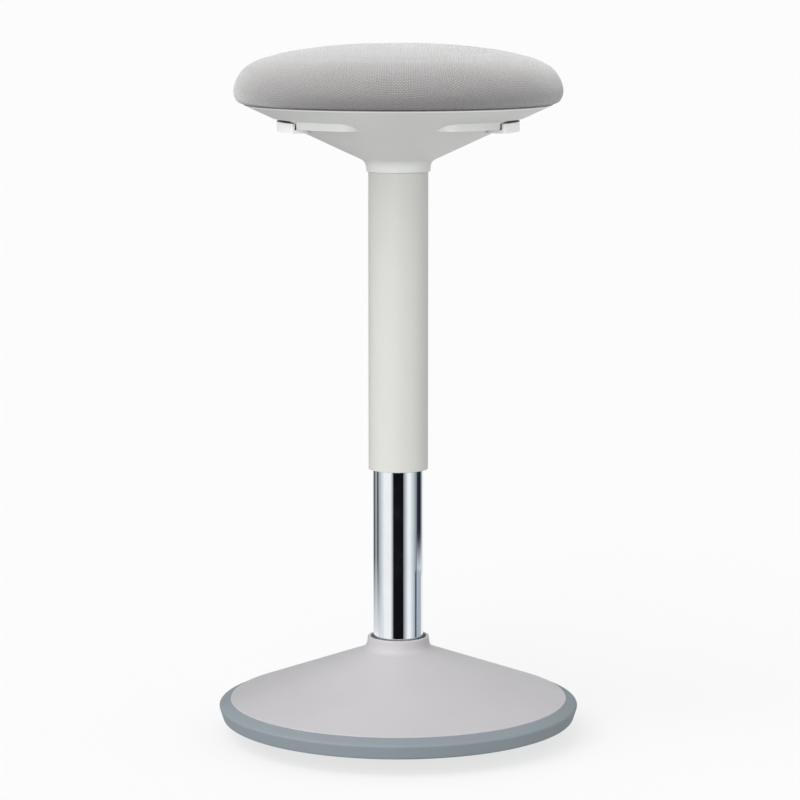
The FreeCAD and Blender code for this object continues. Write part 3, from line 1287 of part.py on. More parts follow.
def make_lever(label, side):
    """Height lever: a curved pad with a finger lip, an arm, a pivot barrel and a pressing nose."""
    body = new_body(label)
    middle = 0 if side > 0 else 180
    low = middle - S.lever_half_angle
    high = middle + S.lever_half_angle
    arm_bottom = shell_height(S.window_inner_radius) + SHELL_DEPTH + 0.3
    arm_top = arm_bottom + S.lever_arm
    riser = S.lever_inner_radius + 6
    lip_inner = S.lever_radius - S.lever_lip
    corner = S.lever_lip / 2.2
    lip_face = new_sketch(body, "lip_face", "XY_Plane", LEVER_BOTTOM)
    draw_sector(lip_face, lip_inner, S.lever_radius, low, high, corner, corner)
    pad(body, "lip", lip_face, S.lever_lip_height)
    plate_face = new_sketch(body, "plate_face", "XY_Plane", LEVER_BOTTOM)
    draw_sector(plate_face, S.lever_inner_radius, S.lever_radius, low, high, corner, corner)
    pad(body, "plate", plate_face, S.lever_plate)
    arm_side = draw_outline(new_sketch(body, "arm_side", "XZ_Plane"), [
        (side * S.pivot_x, arm_bottom),
        (side * S.lever_inner_radius, arm_bottom, 2),
        (side * S.lever_inner_radius, LEVER_BOTTOM + 0.5),
        (side * riser, LEVER_BOTTOM + 0.5),
        (side * riser, arm_top, 4),
        (side * S.pivot_x, arm_top),
    ])
    pad(body, "arm", arm_side, S.lever_arm_width, "Symmetric")
    barrel_end = new_sketch(body, "barrel_end", "XZ_Plane")
    draw_circle(barrel_end, side * S.pivot_x, PIVOT_HEIGHT, S.lever_barrel)
    pad(body, "barrel", barrel_end, S.bracket_width - 2 * S.bracket_steel - 2 * S.lever_side_gap, "Symmetric")
    nose_bottom = BUTTON_TOP + S.lever_nose_gap
    nose_width = S.lever_arm_width / 2 - S.lever_side_gap
    nose_start = S.lever_side_gap if side > 0 else -nose_width - S.lever_side_gap
    nose_side = draw_outline(new_sketch(body, "nose_side", "XZ_Plane", nose_start), [
        (side * S.pivot_x, arm_bottom),
        (side * S.pivot_x, PIVOT_HEIGHT + S.lever_barrel),
        (side * (S.pivot_x - S.lever_barrel), nose_bottom + S.lever_nose_height, 3),
        (-side * S.lever_nose, nose_bottom + S.lever_nose_height, 2),
        (-side * S.lever_nose, nose_bottom, 1.5),
        (side * (S.pivot_x - S.lever_barrel * 2), nose_bottom, 3),
    ])
    pad(body, "nose", nose_side, nose_width)
    bore_end = new_sketch(body, "bore_end", "XZ_Plane")
    draw_circle(bore_end, side * S.pivot_x, PIVOT_HEIGHT, S.pin_radius + S.running_clearance)
    pocket(body, "bore", bore_end, S.bracket_width, "Symmetric")
    return body


# The whole stool

make_rubber_foot()
make_base_pan()
make_weight_ring()
make_column_hub()
make_base_cover()
make_column_tube()
make_column_bush()
make_thrust_bearing()
make_bump_stop()
make_base_fasteners()
make_piston_rod()
make_retaining_clip()
make_clip_washer()
make_piston()
make_gas_cylinder()
make_rod_gland()
make_release_button()
make_cover_sleeve()
make_sleeve_ring()
make_sleeve_guide()
make_under_shell()
make_seat_bracket()
make_pivot_pins()
make_lever("lever_left", -1)
make_lever("lever_right", 1)
make_seat_board()
make_seat_foam()
make_seat_cover()
make_staples()
make_seat_fasteners()
DOCUMENT.recompute()

for item in DOCUMENT.Objects:
    if "Invalid" in item.State or "Error" in item.State:
        raise RuntimeError(f"{item.Name} failed: {item.State}")

PARTS = [item for item in DOCUMENT.Objects if item.TypeId in ("PartDesign::Body", "Part::Feature")]
os.makedirs("parts", exist_ok=True)
for item in PARTS:
    if item.Shape.isNull() or not item.Shape.isValid():
        raise RuntimeError(f"{item.Label} has no valid shape")
for item in PARTS:
    item.Shape.exportStep(f"parts/{item.Label}.step")
    box = item.Shape.BoundBox
    print(
        f"{item.Label:16s} solids {len(item.Shape.Solids):3d} volume {item.Shape.Volume / 1000:9.2f} cm3"
        f"  z {box.ZMin:7.2f} to {box.ZMax:7.2f}  x {box.XMin:7.2f} to {box.XMax:7.2f}"
    )
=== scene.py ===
# A wobble stool: a round upholstered seat on a cone shaped under-shell, a gas lift inside a cover
# sleeve, and a weighted base that rocks on a domed rubber foot. Sections follow its assembly.
import math
from functools import partial
import bmesh
import bpy
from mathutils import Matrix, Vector
from mathutils.bvhtree import BVHTree


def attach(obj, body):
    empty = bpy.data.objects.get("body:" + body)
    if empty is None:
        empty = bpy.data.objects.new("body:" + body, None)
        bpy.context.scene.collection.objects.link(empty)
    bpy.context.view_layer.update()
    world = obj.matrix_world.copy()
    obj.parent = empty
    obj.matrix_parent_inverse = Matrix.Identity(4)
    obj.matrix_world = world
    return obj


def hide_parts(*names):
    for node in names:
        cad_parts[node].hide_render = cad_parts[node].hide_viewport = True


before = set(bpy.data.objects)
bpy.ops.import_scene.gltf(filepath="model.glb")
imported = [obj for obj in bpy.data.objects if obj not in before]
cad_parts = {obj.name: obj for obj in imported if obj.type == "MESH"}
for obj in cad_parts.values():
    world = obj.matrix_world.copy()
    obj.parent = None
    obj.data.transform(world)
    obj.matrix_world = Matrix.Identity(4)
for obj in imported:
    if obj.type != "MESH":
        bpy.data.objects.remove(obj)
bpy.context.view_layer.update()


# Rubber foot: one dish of blue-grey rubber, compression moulded, with tread rings under it.
# Its rim wraps the edge of the base and takes the knocks, so its corner is scuffed paler; that
# paler corner also paints the highlight along the rim's edge.

def put(tree, kind, inputs=None, **attributes):
    """Adds a node, sets it up, and links or sets its inputs."""
    node = tree.nodes.new(kind)
    for name, value in attributes.items():
        setattr(node, name, value)
    for name, value in (inputs or {}).items():
        if isinstance(value, bpy.types.NodeSocket):
            tree.links.new(value, node.inputs[name])
        else:
            node.inputs[name].default_value = value
    return node


def work(tree, operation, *values, clamp=False):
    """One step of arithmetic on numbers or sockets."""
    inputs = dict(enumerate(values))
    return put(tree, "ShaderNodeMath", inputs, operation=operation, use_clamp=clamp).outputs[0]


def mixed(tree, share, first, second):
    """Two colours mixed by a share."""
    node = put(tree, "ShaderNodeMix", {0: share, 6: first, 7: second}, data_type="RGBA")
    return node.outputs[2]


def spread(tree, value, low, high, to_low=0.0, to_high=1.0):
    """A value moved from one span to another, and kept inside it."""
    spans = {"Value": value, "From Min": low, "From Max": high, "To Min": to_low, "To Max": to_high}
    return put(tree, "ShaderNodeMapRange", spans).outputs[0]


def on_piece(tree):
    """Where a point is on its piece, in metres."""
    return put(tree, "ShaderNodeTexCoord").outputs["Object"]


def upward(tree, place):
    """How high a place is."""
    return put(tree, "ShaderNodeSeparateXYZ", {0: place}).outputs[2]


def blotches(tree, place, scale, detail):
    """A smooth random value from 0 to 1, with so many blotches to the metre."""
    inputs = {"Vector": place, "Scale": scale, "Detail": detail}
    return put(tree, "ShaderNodeTexNoise", inputs).outputs[0]


def wavering(tree, middle, pattern, span):
    """A value that wavers about its middle with a pattern, and stays from 0 to 1."""
    part = work(tree, "MULTIPLY", work(tree, "SUBTRACT", pattern, 0.5), span)
    return work(tree, "ADD", middle, part, clamp=True)


def bumped(tree, height, distance, strength=1.0):
    """The surface's direction, leaned by a height."""
    inputs = {"Height": height, "Distance": distance, "Strength": strength}
    return put(tree, "ShaderNodeBump", inputs).outputs["Normal"]


def new_effect(name, takes, gives):
    """An effect that several finishes share: its tree, its inputs and its outputs."""
    tree = bpy.data.node_groups.new(name, "ShaderNodeTree")
    sockets = tree.interface
    for label, value in takes.items():
        kind = "NodeSocketColor" if isinstance(value, tuple) else "NodeSocketFloat"
        sockets.new_socket(name=label, in_out="INPUT", socket_type=kind).default_value = value
    for label, kind in gives.items():
        sockets.new_socket(name=label, in_out="OUTPUT", socket_type=f"NodeSocket{kind}")
    return tree, put(tree, "NodeGroupInput").outputs, put(tree, "NodeGroupOutput").inputs


def use_effect(tree, effect, **values):
    """Places an effect in a finish with its own values, and returns its outputs."""
    inputs = {label.replace("_", " ").capitalize(): value for label, value in values.items()}
    return put(tree, "ShaderNodeGroup", inputs, node_tree=effect).outputs


def new_finish(name, **constants):
    """A material with constants on its shader: the material, its tree and its shader's inputs."""
    material = bpy.data.materials.new(name)
    material.use_nodes = True
    shader = material.node_tree.nodes["Principled BSDF"].inputs
    for label, value in constants.items():
        shader[label.replace("_", " ").title().replace("Ior", "IOR")].default_value = value
    return material, material.node_tree, shader


def feed(tree, shader, colour, surface):
    """Gives a shader a colour, and the roughness and direction that an effect puts out."""
    tree.links.new(colour, shader["Base Color"])
    tree.links.new(surface["Roughness"], shader["Roughness"])
    tree.links.new(surface["Normal"], shader["Normal"])


def dress(material, *names):
    """Gives a finish to CAD nodes."""
    for name in names:
        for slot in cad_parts[name].material_slots:
            slot.material = material


# Moulded skin is what a spark-eroded mould leaves: fine grain, cloudy tone and uneven gloss.
moulded_skin, given, made = new_effect(
    "moulded_skin",
    {"Colour": (0.8, 0.8, 0.8, 1), "Cloud colour": (0.75, 0.75, 0.75, 1), "Grain": 1400.0,
     "Depth": 0.00002, "Roughness": 0.5, "Spread": 0.1},
    {"Colour": "Color", "Roughness": "Float", "Normal": "Vector"},
)
place = on_piece(moulded_skin)
cloudy = spread(moulded_skin, blotches(moulded_skin, place, scale=16.0, detail=3.0), 0.35, 0.65)
speckled = mixed(moulded_skin, cloudy, given["Colour"], given["Cloud colour"])
gloss = blotches(moulded_skin, place, scale=55.0, detail=4.0)
roughness = wavering(moulded_skin, given["Roughness"], gloss, given["Spread"])
grain = blotches(moulded_skin, place, scale=given["Grain"], detail=2.0)
moulded_skin.links.new(speckled, made["Colour"])
moulded_skin.links.new(roughness, made["Roughness"])
moulded_skin.links.new(bumped(moulded_skin, grain, distance=given["Depth"]), made["Normal"])

# Edge wear finds the sharp outer edges of a piece and rubs them to another colour, in patches.
# Near an edge its rounded direction turns from the surface's. Wear starts at the first cosine of
# that turn and is full at the second.
WEAR_STARTS = 0.995
WEAR_FULL = 0.9
edge_wear, given, made = new_effect(
    "edge_wear",
    {"Colour": (0.8, 0.8, 0.8, 1), "Worn colour": (0.9, 0.9, 0.9, 1), "Reach": 0.001,
     "Amount": 0.5},
    {"Colour": "Color"},
)
rounded = put(edge_wear, "ShaderNodeBevel", {"Radius": given["Reach"]}, samples=4).outputs["Normal"]
facing = put(edge_wear, "ShaderNodeNewGeometry").outputs["Normal"]
turned = put(edge_wear, "ShaderNodeVectorMath", {0: rounded, 1: facing}, operation="DOT_PRODUCT")
sharp = spread(edge_wear, turned.outputs["Value"], WEAR_STARTS, WEAR_FULL)
patches = blotches(edge_wear, on_piece(edge_wear), scale=90.0, detail=4.0)
patchy = work(edge_wear, "MULTIPLY", sharp, spread(edge_wear, patches, 0.4, 0.6, 0.35))
worn = work(edge_wear, "MULTIPLY", patchy, given["Amount"], clamp=True)
edge_wear.links.new(mixed(edge_wear, worn, given["Colour"], given["Worn colour"]), made["Colour"])

foot_rubber, tree, shader = new_finish("foot_rubber", specular_ior_level=0.22)
skin = use_effect(tree, moulded_skin, colour=(0.215, 0.248, 0.27, 1),
                  cloud_colour=(0.202, 0.234, 0.255, 1), grain=900.0, depth=0.00004,
                  roughness=0.66, spread=0.16)
# Partly scuffing, partly a painted highlight: the paler corner stands in for light on its edge.
wear = use_effect(tree, edge_wear, colour=skin["Colour"], worn_colour=(0.3, 0.34, 0.37, 1),
                  reach=0.0016, amount=0.55)
feed(tree, shader, wear["Colour"], skin)
dress(foot_rubber, "rubber_foot")


# Base pan: glass filled nylon, injection moulded with ribs, pressed into the rubber dish.
# Everything in the base is bolted to it.
pan_plastic, tree, shader = new_finish("pan_plastic", specular_ior_level=0.4)
skin = use_effect(tree, moulded_skin, colour=(0.045, 0.046, 0.048, 1),
                  cloud_colour=(0.06, 0.061, 0.063, 1), grain=700.0, depth=0.00005,
                  roughness=0.5, spread=0.2)
feed(tree, shader, skin["Colour"], skin)
dress(pan_plastic, "base_pan")


# Weight ring: grey cast iron, left as it leaves the sand but for a coat of black primer.
# Three bolts hold it on the ledge of the pan.
weight_iron, tree, shader = new_finish("weight_iron", metallic=0.6)
place = on_piece(tree)
sand = blotches(tree, place, scale=420.0, detail=5.0)
pits = put(tree, "ShaderNodeTexVoronoi", {"Vector": place, "Scale": 160.0}).outputs["Distance"]
rusty = spread(tree, blotches(tree, place, scale=25.0, detail=6.0), 0.55, 0.75)
primed = mixed(tree, rusty, (0.035, 0.035, 0.037, 1), (0.12, 0.062, 0.035, 1))
cast = work(tree, "ADD", sand, spread(tree, pits, 0.0, 0.35))
tree.links.new(primed, shader["Base Color"])
tree.links.new(spread(tree, sand, 0.3, 0.7, 0.55, 0.85), shader["Roughness"])
tree.links.new(bumped(tree, cast, distance=0.0003), shader["Normal"])
dress(weight_iron, "weight_ring")


# Column hub and fasteners: turned and headed steel, zinc plated, with fine lines from the tool.
# The hub's taper grips the foot of the column.
turned_metal, given, made = new_effect(
    "turned_metal",
    {"Colour": (0.6, 0.6, 0.6, 1), "Shade colour": (0.5, 0.5, 0.5, 1), "Lines": 900.0,
     "Depth": 0.00001, "Roughness": 0.3, "Spread": 0.15},
    {"Colour": "Color", "Roughness": "Float", "Normal": "Vector"},
)
lathe = partial(work, turned_metal)
place = on_piece(turned_metal)
parts = put(turned_metal, "ShaderNodeSeparateXYZ", {0: place}).outputs
squares = lathe("ADD", lathe("POWER", parts[0], 2.0), lathe("POWER", parts[1], 2.0))
ring = {0: lathe("SQRT", squares), 1: 0.0, 2: parts[2]}
ring_place = put(turned_metal, "ShaderNodeCombineXYZ", ring).outputs[0]
lines = blotches(turned_metal, ring_place, scale=given["Lines"], detail=3.0)
stains = blotches(turned_metal, place, scale=40.0, detail=4.0)
stained = spread(turned_metal, stains, 0.35, 0.65)
shaded = mixed(turned_metal, stained, given["Colour"], given["Shade colour"])
roughness = wavering(turned_metal, given["Roughness"], stains, given["Spread"])
turned_metal.links.new(shaded, made["Colour"])
turned_metal.links.new(roughness, made["Roughness"])
turned_metal.links.new(bumped(turned_metal, lines, distance=given["Depth"]), made["Normal"])


def metal_finish(name, colour, shade, lines, roughness, uneven, depth=0.00001):
    """A bare or plated metal finish."""
    material, tree, shader = new_finish(name, metallic=1.0)
    metal = use_effect(tree, turned_metal, colour=(*colour, 1), shade_colour=(*shade, 1),
                       lines=lines, depth=depth, roughness=roughness, spread=uneven)
    feed(tree, shader, metal["Colour"], metal)
    return material


hub_steel = metal_finish("hub_steel", (0.42, 0.41, 0.39), (0.34, 0.33, 0.32), lines=700.0,
                         roughness=0.38, uneven=0.2)
zinc_steel = metal_finish("zinc_steel", (0.62, 0.63, 0.66), (0.56, 0.55, 0.5), lines=1200.0,
                          roughness=0.32, uneven=0.2)
dress(hub_steel, "column_hub", "thrust_bearing")
dress(zinc_steel, "hub_bolts", "weight_bolts", "foot_screws")


# Base cover: a thin cone of pale warm grey plastic with a collar round the column.
# Six screws from below draw it onto the pan, and the rubber rim laps its edge.
base_plastic, tree, shader = new_finish("base_plastic", specular_ior_level=0.4)
skin = use_effect(tree, moulded_skin, colour=(0.43, 0.419, 0.433, 1),
                  cloud_colour=(0.416, 0.405, 0.42, 1), grain=1500.0, depth=0.000018,
                  roughness=0.46, spread=0.1)
wear = use_effect(tree, edge_wear, colour=skin["Colour"], worn_colour=(0.54, 0.53, 0.54, 1),
                  reach=0.0018, amount=0.6)
feed(tree, shader, wear["Colour"], skin)
dress(base_plastic, "base_cover")


# Column: a drawn steel tube, polished and chromed, with the guide bush in its mouth.
# The film of polish left on it shows as faint upright streaks in the gloss.
STREAK_STRETCH = (1.0, 1.0, 0.03)
chrome, tree, shader = new_finish("chrome", metallic=1.0)
place = on_piece(tree)
long_place = put(tree, "ShaderNodeMapping", {"Vector": place, "Scale": STREAK_STRETCH}).outputs[0]
streaks = blotches(tree, long_place, scale=500.0, detail=3.0)
smudges = blotches(tree, place, scale=28.0, detail=5.0)
film = spread(tree, smudges, 0.5, 0.72)
filmed = mixed(tree, film, (0.87, 0.895, 0.915, 1), (0.82, 0.85, 0.875, 1))
gloss = work(tree, "ADD", spread(tree, smudges, 0.42, 0.75, 0.025, 0.09),
             spread(tree, streaks, 0.3, 0.7, 0.0, 0.02))
tree.links.new(filmed, shader["Base Color"])
tree.links.new(gloss, shader["Roughness"])
tree.links.new(bumped(tree, streaks, distance=0.0000006), shader["Normal"])
dress(chrome, "column_tube")

guide_plastic, tree, shader = new_finish("guide_plastic", specular_ior_level=0.45)
skin = use_effect(tree, moulded_skin, colour=(0.03, 0.03, 0.032, 1),
                  cloud_colour=(0.04, 0.04, 0.042, 1), grain=1100.0, depth=0.00001,
                  roughness=0.35, spread=0.15)
feed(tree, shader, skin["Colour"], skin)
dress(guide_plastic, "column_bush", "sleeve_guide", "rod_gland")

stop_rubber, tree, shader = new_finish("stop_rubber", specular_ior_level=0.3)
skin = use_effect(tree, moulded_skin, colour=(0.02, 0.02, 0.021, 1),
                  cloud_colour=(0.028, 0.028, 0.029, 1), grain=800.0, depth=0.00004,
                  roughness=0.75, spread=0.15)
feed(tree, shader, skin["Colour"], skin)
dress(stop_rubber, "bump_stop")


# Gas lift: a ground rod, a piston and a black cylinder whose top taper carries the seat.
# The rod stands on the bearing and is held by a spring clip under the column's floor.
rod_steel = metal_finish("rod_steel", (0.7, 0.71, 0.72), (0.66, 0.67, 0.68), lines=1600.0,
                         roughness=0.12, uneven=0.08, depth=0.000003)
black_steel = metal_finish("black_steel", (0.05, 0.05, 0.052), (0.07, 0.068, 0.066), lines=900.0,
                           roughness=0.42, uneven=0.2)
dress(rod_steel, "piston_rod", "release_button", "pivot_pins")
dress(black_steel, "gas_cylinder", "seat_bracket", "bracket_bolts", "shell_screws",
      "retaining_clip", "sleeve_ring")
dress(zinc_steel, "piston", "clip_washer", "tee_nuts", "bracket_washers", "staples")


# Cover sleeve: an extruded off-white tube that hides the cylinder and rises with the seat.
# It hangs from the under-shell and runs on the column by a guide in its lower end.
sleeve_plastic, tree, shader = new_finish("sleeve_plastic", specular_ior_level=0.4)
skin = use_effect(tree, moulded_skin, colour=(0.54, 0.545, 0.517, 1),
                  cloud_colour=(0.528, 0.532, 0.507, 1), grain=1500.0, depth=0.000015,
                  roughness=0.48, spread=0.1)
wear = use_effect(tree, edge_wear, colour=skin["Colour"], worn_colour=(0.62, 0.62, 0.6, 1),
                  reach=0.001, amount=0.4)
feed(tree, shader, wear["Colour"], skin)
dress(sleeve_plastic, "cover_sleeve")


# Under-shell and levers: pale grey plastic with a fine spark finish, screwed up into the board.
# The shell's rim is rubbed paler, which also paints a highlight along it, and a pale band just
# under its top edge is a painted highlight. Its last millimetre under the cushion is painted dark
# as the shadow in the seam. The levers are of the same plastic, rubbed smoother, with a paler
# colour that paints the light on their upright faces; the lips that fingers lift are rubbed paler.
# Height tint mixes another colour in over a span of heights; below it paints highlight and shade.
height_tint, given, made = new_effect(
    "height_tint",
    {"Colour": (0.8, 0.8, 0.8, 1), "Tint colour": (0.1, 0.1, 0.1, 1), "From height": 0.0,
     "To height": 1.0, "Amount": 1.0},
    {"Colour": "Color"},
)
height = upward(height_tint, on_piece(height_tint))
tinted = spread(height_tint, height, given["From height"], given["To height"], 0.0, given["Amount"])
height_tint.links.new(mixed(height_tint, tinted, given["Colour"], given["Tint colour"]),
                      made["Colour"])

shell_plastic, tree, shader = new_finish("shell_plastic", specular_ior_level=0.4)
skin = use_effect(tree, moulded_skin, colour=(0.65, 0.66, 0.645, 1),
                  cloud_colour=(0.63, 0.64, 0.625, 1), grain=1500.0, depth=0.000018,
                  roughness=0.48, spread=0.1)
# Rubbed edges, made strong enough to paint a highlight along the rim as well.
wear = use_effect(tree, edge_wear, colour=skin["Colour"], worn_colour=(0.78, 0.79, 0.775, 1),
                  reach=0.0014, amount=0.9)
# Painted highlight: a pale band just under the rim's top edge.
rim = use_effect(tree, height_tint, colour=wear["Colour"], tint_colour=(0.88, 0.89, 0.87, 1),
                 from_height=0.6319, to_height=0.6326, amount=0.8)
# Painted shadow: the rim's last millimetre under the cushion is darkened, as in the seam.
seam_shadow = use_effect(tree, height_tint, colour=rim["Colour"], tint_colour=(0.05, 0.05, 0.05, 1),
                  from_height=0.6334, to_height=0.6337, amount=0.9)
feed(tree, shader, seam_shadow["Colour"], skin)
dress(shell_plastic, "under_shell")

# Painted light: the levers' colour is paler than the shell's same plastic, for their lit upright
# faces.
lever_plastic, tree, shader = new_finish("lever_plastic", specular_ior_level=0.45)
skin = use_effect(tree, moulded_skin, colour=(0.9, 0.91, 0.895, 1),
                  cloud_colour=(0.88, 0.89, 0.875, 1), grain=1500.0, depth=0.000012,
                  roughness=0.4, spread=0.12)
wear = use_effect(tree, edge_wear, colour=skin["Colour"], worn_colour=(0.94, 0.945, 0.935, 1),
                  reach=0.0012, amount=0.6)
feed(tree, shader, wear["Colour"], skin)
dress(lever_plastic, "lever_left", "lever_right")


# Seat board: twelve millimetres of birch ply, routed round, with tee nuts pressed in from above.
# Its plies show on the edge, and its faces have a long straight grain.
GRAIN_STRETCH = (14.0, 190.0, 190.0)
PLY = 0.0013
plywood, tree, shader = new_finish("plywood", specular_ior_level=0.3)
place = on_piece(tree)
long_place = put(tree, "ShaderNodeMapping", {"Vector": place, "Scale": GRAIN_STRETCH}).outputs[0]
fibres = blotches(tree, long_place, scale=1.0, detail=5.0)
plies = work(tree, "PINGPONG", upward(tree, place), PLY)
layered = work(tree, "ADD", fibres, spread(tree, plies, 0.0004, 0.0009, -0.12, 0.12))
wood = mixed(tree, spread(tree, layered, 0.3, 0.75), (0.52, 0.37, 0.22, 1), (0.3, 0.18, 0.09, 1))
tree.links.new(wood, shader["Base Color"])
tree.links.new(spread(tree, fibres, 0.3, 0.7, 0.6, 0.8), shader["Roughness"])
tree.links.new(bumped(tree, fibres, distance=0.0001), shader["Normal"])
dress(plywood, "seat_board")


# Cushion: moulded foam under a woven cover, drawn down over the board's edge and stapled below.
# It is turned from one smooth line. A slightly smaller form, swelled as cloth, then gives it the
# small unevenness of stretched cloth over foam.

# Reach and height, from the crown down to the hem in millimetres, and then under it in metres.
SIDE_LINE = [(0, 693.2), (22, 693.1), (43.6, 692.5), (66.2, 690.8), (84, 688.8), (98.6, 686.7),
             (113, 684.1), (126.1, 680.8), (135, 678.1), (142.8, 674.6), (149, 670.8),
             (153.8, 666.4), (157.4, 661.6), (160.0, 656.6), (161.6, 651.8), (162.2, 647.2),
             (161.4, 642.4), (159.5, 638.5), (157.3, 636.2), (155.2, 635.4)]
HEM_LINE = [(0.1529, 0.6353), (0.1526, 0.6351), (0.1526, 0.6343), (0.138, 0.6343),
            (0.138, 0.6356)]
BOARD_LINE = [(0.1513, 0.6356), (0.1513, 0.6481), (0, 0.6481)]
ON_AXIS = 1e-6
LINE_STEPS = 4
ROUND_STEPS = 256
# The smaller form is this much of the cushion's width and height, about its middle.
FORM_STEPS = 96
FORM_MIDDLE = 0.655
FORM_WIDTH = 0.965
FORM_HEIGHT = 0.935
# Rays from outside find how far the swelled form rises. The rises are capped, eased and scaled.
LOOK_FROM = 0.03
LOOK_FOR = 0.08
MOST_RISE = 0.001
EASING_ROUNDS = 24
MOST_UNEVEN = 0.0004


def turns_of(count):
    """The angles of so many equal steps round the axis."""
    return [2 * math.pi * step / count for step in range(count)]


def smooth_line(points, steps):
    """A smooth line through the points, with so many steps between each two."""
    padded = [points[0], *points, points[-1]]
    line = []
    for index in range(1, len(padded) - 2):
        p0, p1, p2, p3 = (Vector(padded[index + offset]) for offset in (-1, 0, 1, 2))
        for step in range(steps):
            t = step / steps
            line.append(0.5 * (2 * p1 + (p2 - p0) * t + (2 * p0 - 5 * p1 + 4 * p2 - p3) * t * t
                               + (3 * p1 - p0 - 3 * p2 + p3) * t ** 3))
    line.append(Vector(points[-1]))
    return line


def turned_mesh(name, line, count):
    """A piece turned from a line of (reach, height) that starts on the axis, row after row."""
    mesh = bmesh.new()
    rows = []
    for across, up in line:
        if across < ON_AXIS:
            rows.append([mesh.verts.new((0, 0, up))])
        else:
            rows.append([mesh.verts.new((across * math.cos(turn), across * math.sin(turn), up))
                         for turn in turns_of(count)])
    for upper, lower in zip(rows, rows[1:]):
        for step in range(count):
            following = (step + 1) % count
            corners = [upper[step % len(upper)], lower[step % len(lower)],
                       lower[following % len(lower)], upper[following % len(upper)]]
            mesh.faces.new(list(dict.fromkeys(corners)))
    bmesh.ops.recalc_face_normals(mesh, faces=mesh.faces)
    data = bpy.data.meshes.new(name)
    mesh.to_mesh(data)
    mesh.free()
    piece = bpy.data.objects.new(name, data)
    bpy.context.scene.collection.objects.link(piece)
    return piece


def swelled(form, voxel=0.005, held_below=0.6385, pressure=4.0, steps=20):
    """The form swelled by cloth simulation, with its underside held still."""
    remesh = form.modifiers.new("remesh", "REMESH")
    remesh.mode = "VOXEL"
    remesh.voxel_size = voxel
    bpy.context.view_layer.objects.active = form
    form.select_set(True)
    bpy.ops.object.modifier_apply(modifier=remesh.name)
    held = form.vertex_groups.new(name="held")
    for vertex in form.data.vertices:
        if vertex.co.z < held_below:
            held.add([vertex.index], 1.0, "REPLACE")
    cloth = form.modifiers.new("cloth", "CLOTH")
    cloth.settings.quality = 6
    cloth.settings.mass = 0.3
    cloth.settings.tension_stiffness = 18
    cloth.settings.compression_stiffness = 18
    cloth.settings.shear_stiffness = 6
    cloth.settings.bending_stiffness = 0.6
    cloth.settings.use_pressure = True
    cloth.settings.uniform_pressure_force = pressure
    cloth.settings.vertex_group_mass = held.name
    cloth.settings.effector_weights.gravity = 0
    cloth.point_cache.frame_end = steps
    for step in range(1, steps + 1):
        bpy.context.scene.frame_set(step)
    drawn = form.evaluated_get(bpy.context.evaluated_depsgraph_get())
    puffed = bpy.data.meshes.new_from_object(drawn)
    bpy.context.scene.frame_set(1)
    form.modifiers.clear()
    form.data = puffed
    return form


def outward(slope, turn):
    """The way off the cushion's side, where its line slopes so, that far round the axis."""
    return Vector((slope.x * math.cos(turn), slope.x * math.sin(turn), slope.y))


def eased(rises):
    """Rises averaged with those beside, above and below them."""
    result = []
    for row, middle in enumerate(rises):
        upper = rises[max(row - 1, 0)]
        lower = rises[min(row + 1, len(rises) - 1)]
        result.append([(middle[step] * 2 + middle[step - 1] + middle[(step + 1) % ROUND_STEPS]
                        + upper[step] + lower[step]) / 6 for step in range(ROUND_STEPS)])
    return result


side_line = [point / 1000 for point in smooth_line(SIDE_LINE, LINE_STEPS)]
outline = side_line + [Vector(point) for point in HEM_LINE + BOARD_LINE]
cushion = turned_mesh("seat_cushion", outline, ROUND_STEPS)

form_line = [Vector((point.x * FORM_WIDTH, FORM_MIDDLE + (point.y - FORM_MIDDLE) * FORM_HEIGHT))
             for point in side_line]
form = turned_mesh("cushion_form", form_line + [Vector((0, form_line[-1].y))], FORM_STEPS)
form = swelled(form)
swelling = BVHTree.FromPolygons([vertex.co for vertex in form.data.vertices],
                                [face.vertices for face in form.data.polygons])
turns = turns_of(ROUND_STEPS)
sides = cushion.data.vertices[1:]
slopes = []
rises = []
for row in range(1, len(side_line)):
    following = side_line[min(row + 1, len(side_line) - 1)]
    along = (following - side_line[row - 1]).normalized()
    slope = Vector((-along.y, along.x))
    found = []
    for turn, vertex in zip(turns, sides[(row - 1) * ROUND_STEPS:]):
        way = outward(slope, turn)
        hit, _, _, distance = swelling.ray_cast(vertex.co + way * LOOK_FROM, -way, LOOK_FOR)
        found.append(LOOK_FROM - distance if hit else 0.0)
    usual = sorted(found)[ROUND_STEPS // 2]
    slopes.append(slope)
    rises.append([max(-MOST_RISE, min(MOST_RISE, rise - usual)) for rise in found])
for _ in range(EASING_ROUNDS):
    rises = eased(rises)
biggest = max(abs(rise) for row_rises in rises for rise in row_rises)
share = MOST_UNEVEN / max(biggest, MOST_UNEVEN)
for row, (slope, row_rises) in enumerate(zip(slopes, rises)):
    for turn, rise, vertex in zip(turns, row_rises, sides[row * ROUND_STEPS:]):
        vertex.co += outward(slope, turn) * rise * share
bpy.data.objects.remove(form)

# The cover's cloth place is how far a thread is from the crown, measured over the cushion.
cloth_places = []
far = 0.0
for before, point in zip([outline[0], *outline], outline):
    far += (point - before).length
    turns = turns_of(ROUND_STEPS) if point.x >= ON_AXIS else [0.0]
    cloth_places += [(far * math.cos(turn), far * math.sin(turn), 0.0) for turn in turns]
cloth_place = cushion.data.attributes.new("cloth_place", "FLOAT_VECTOR", "POINT")
for entry, spot in zip(cloth_place.data, cloth_places):
    entry.vector = spot
for face in cushion.data.polygons:
    face.use_smooth = True

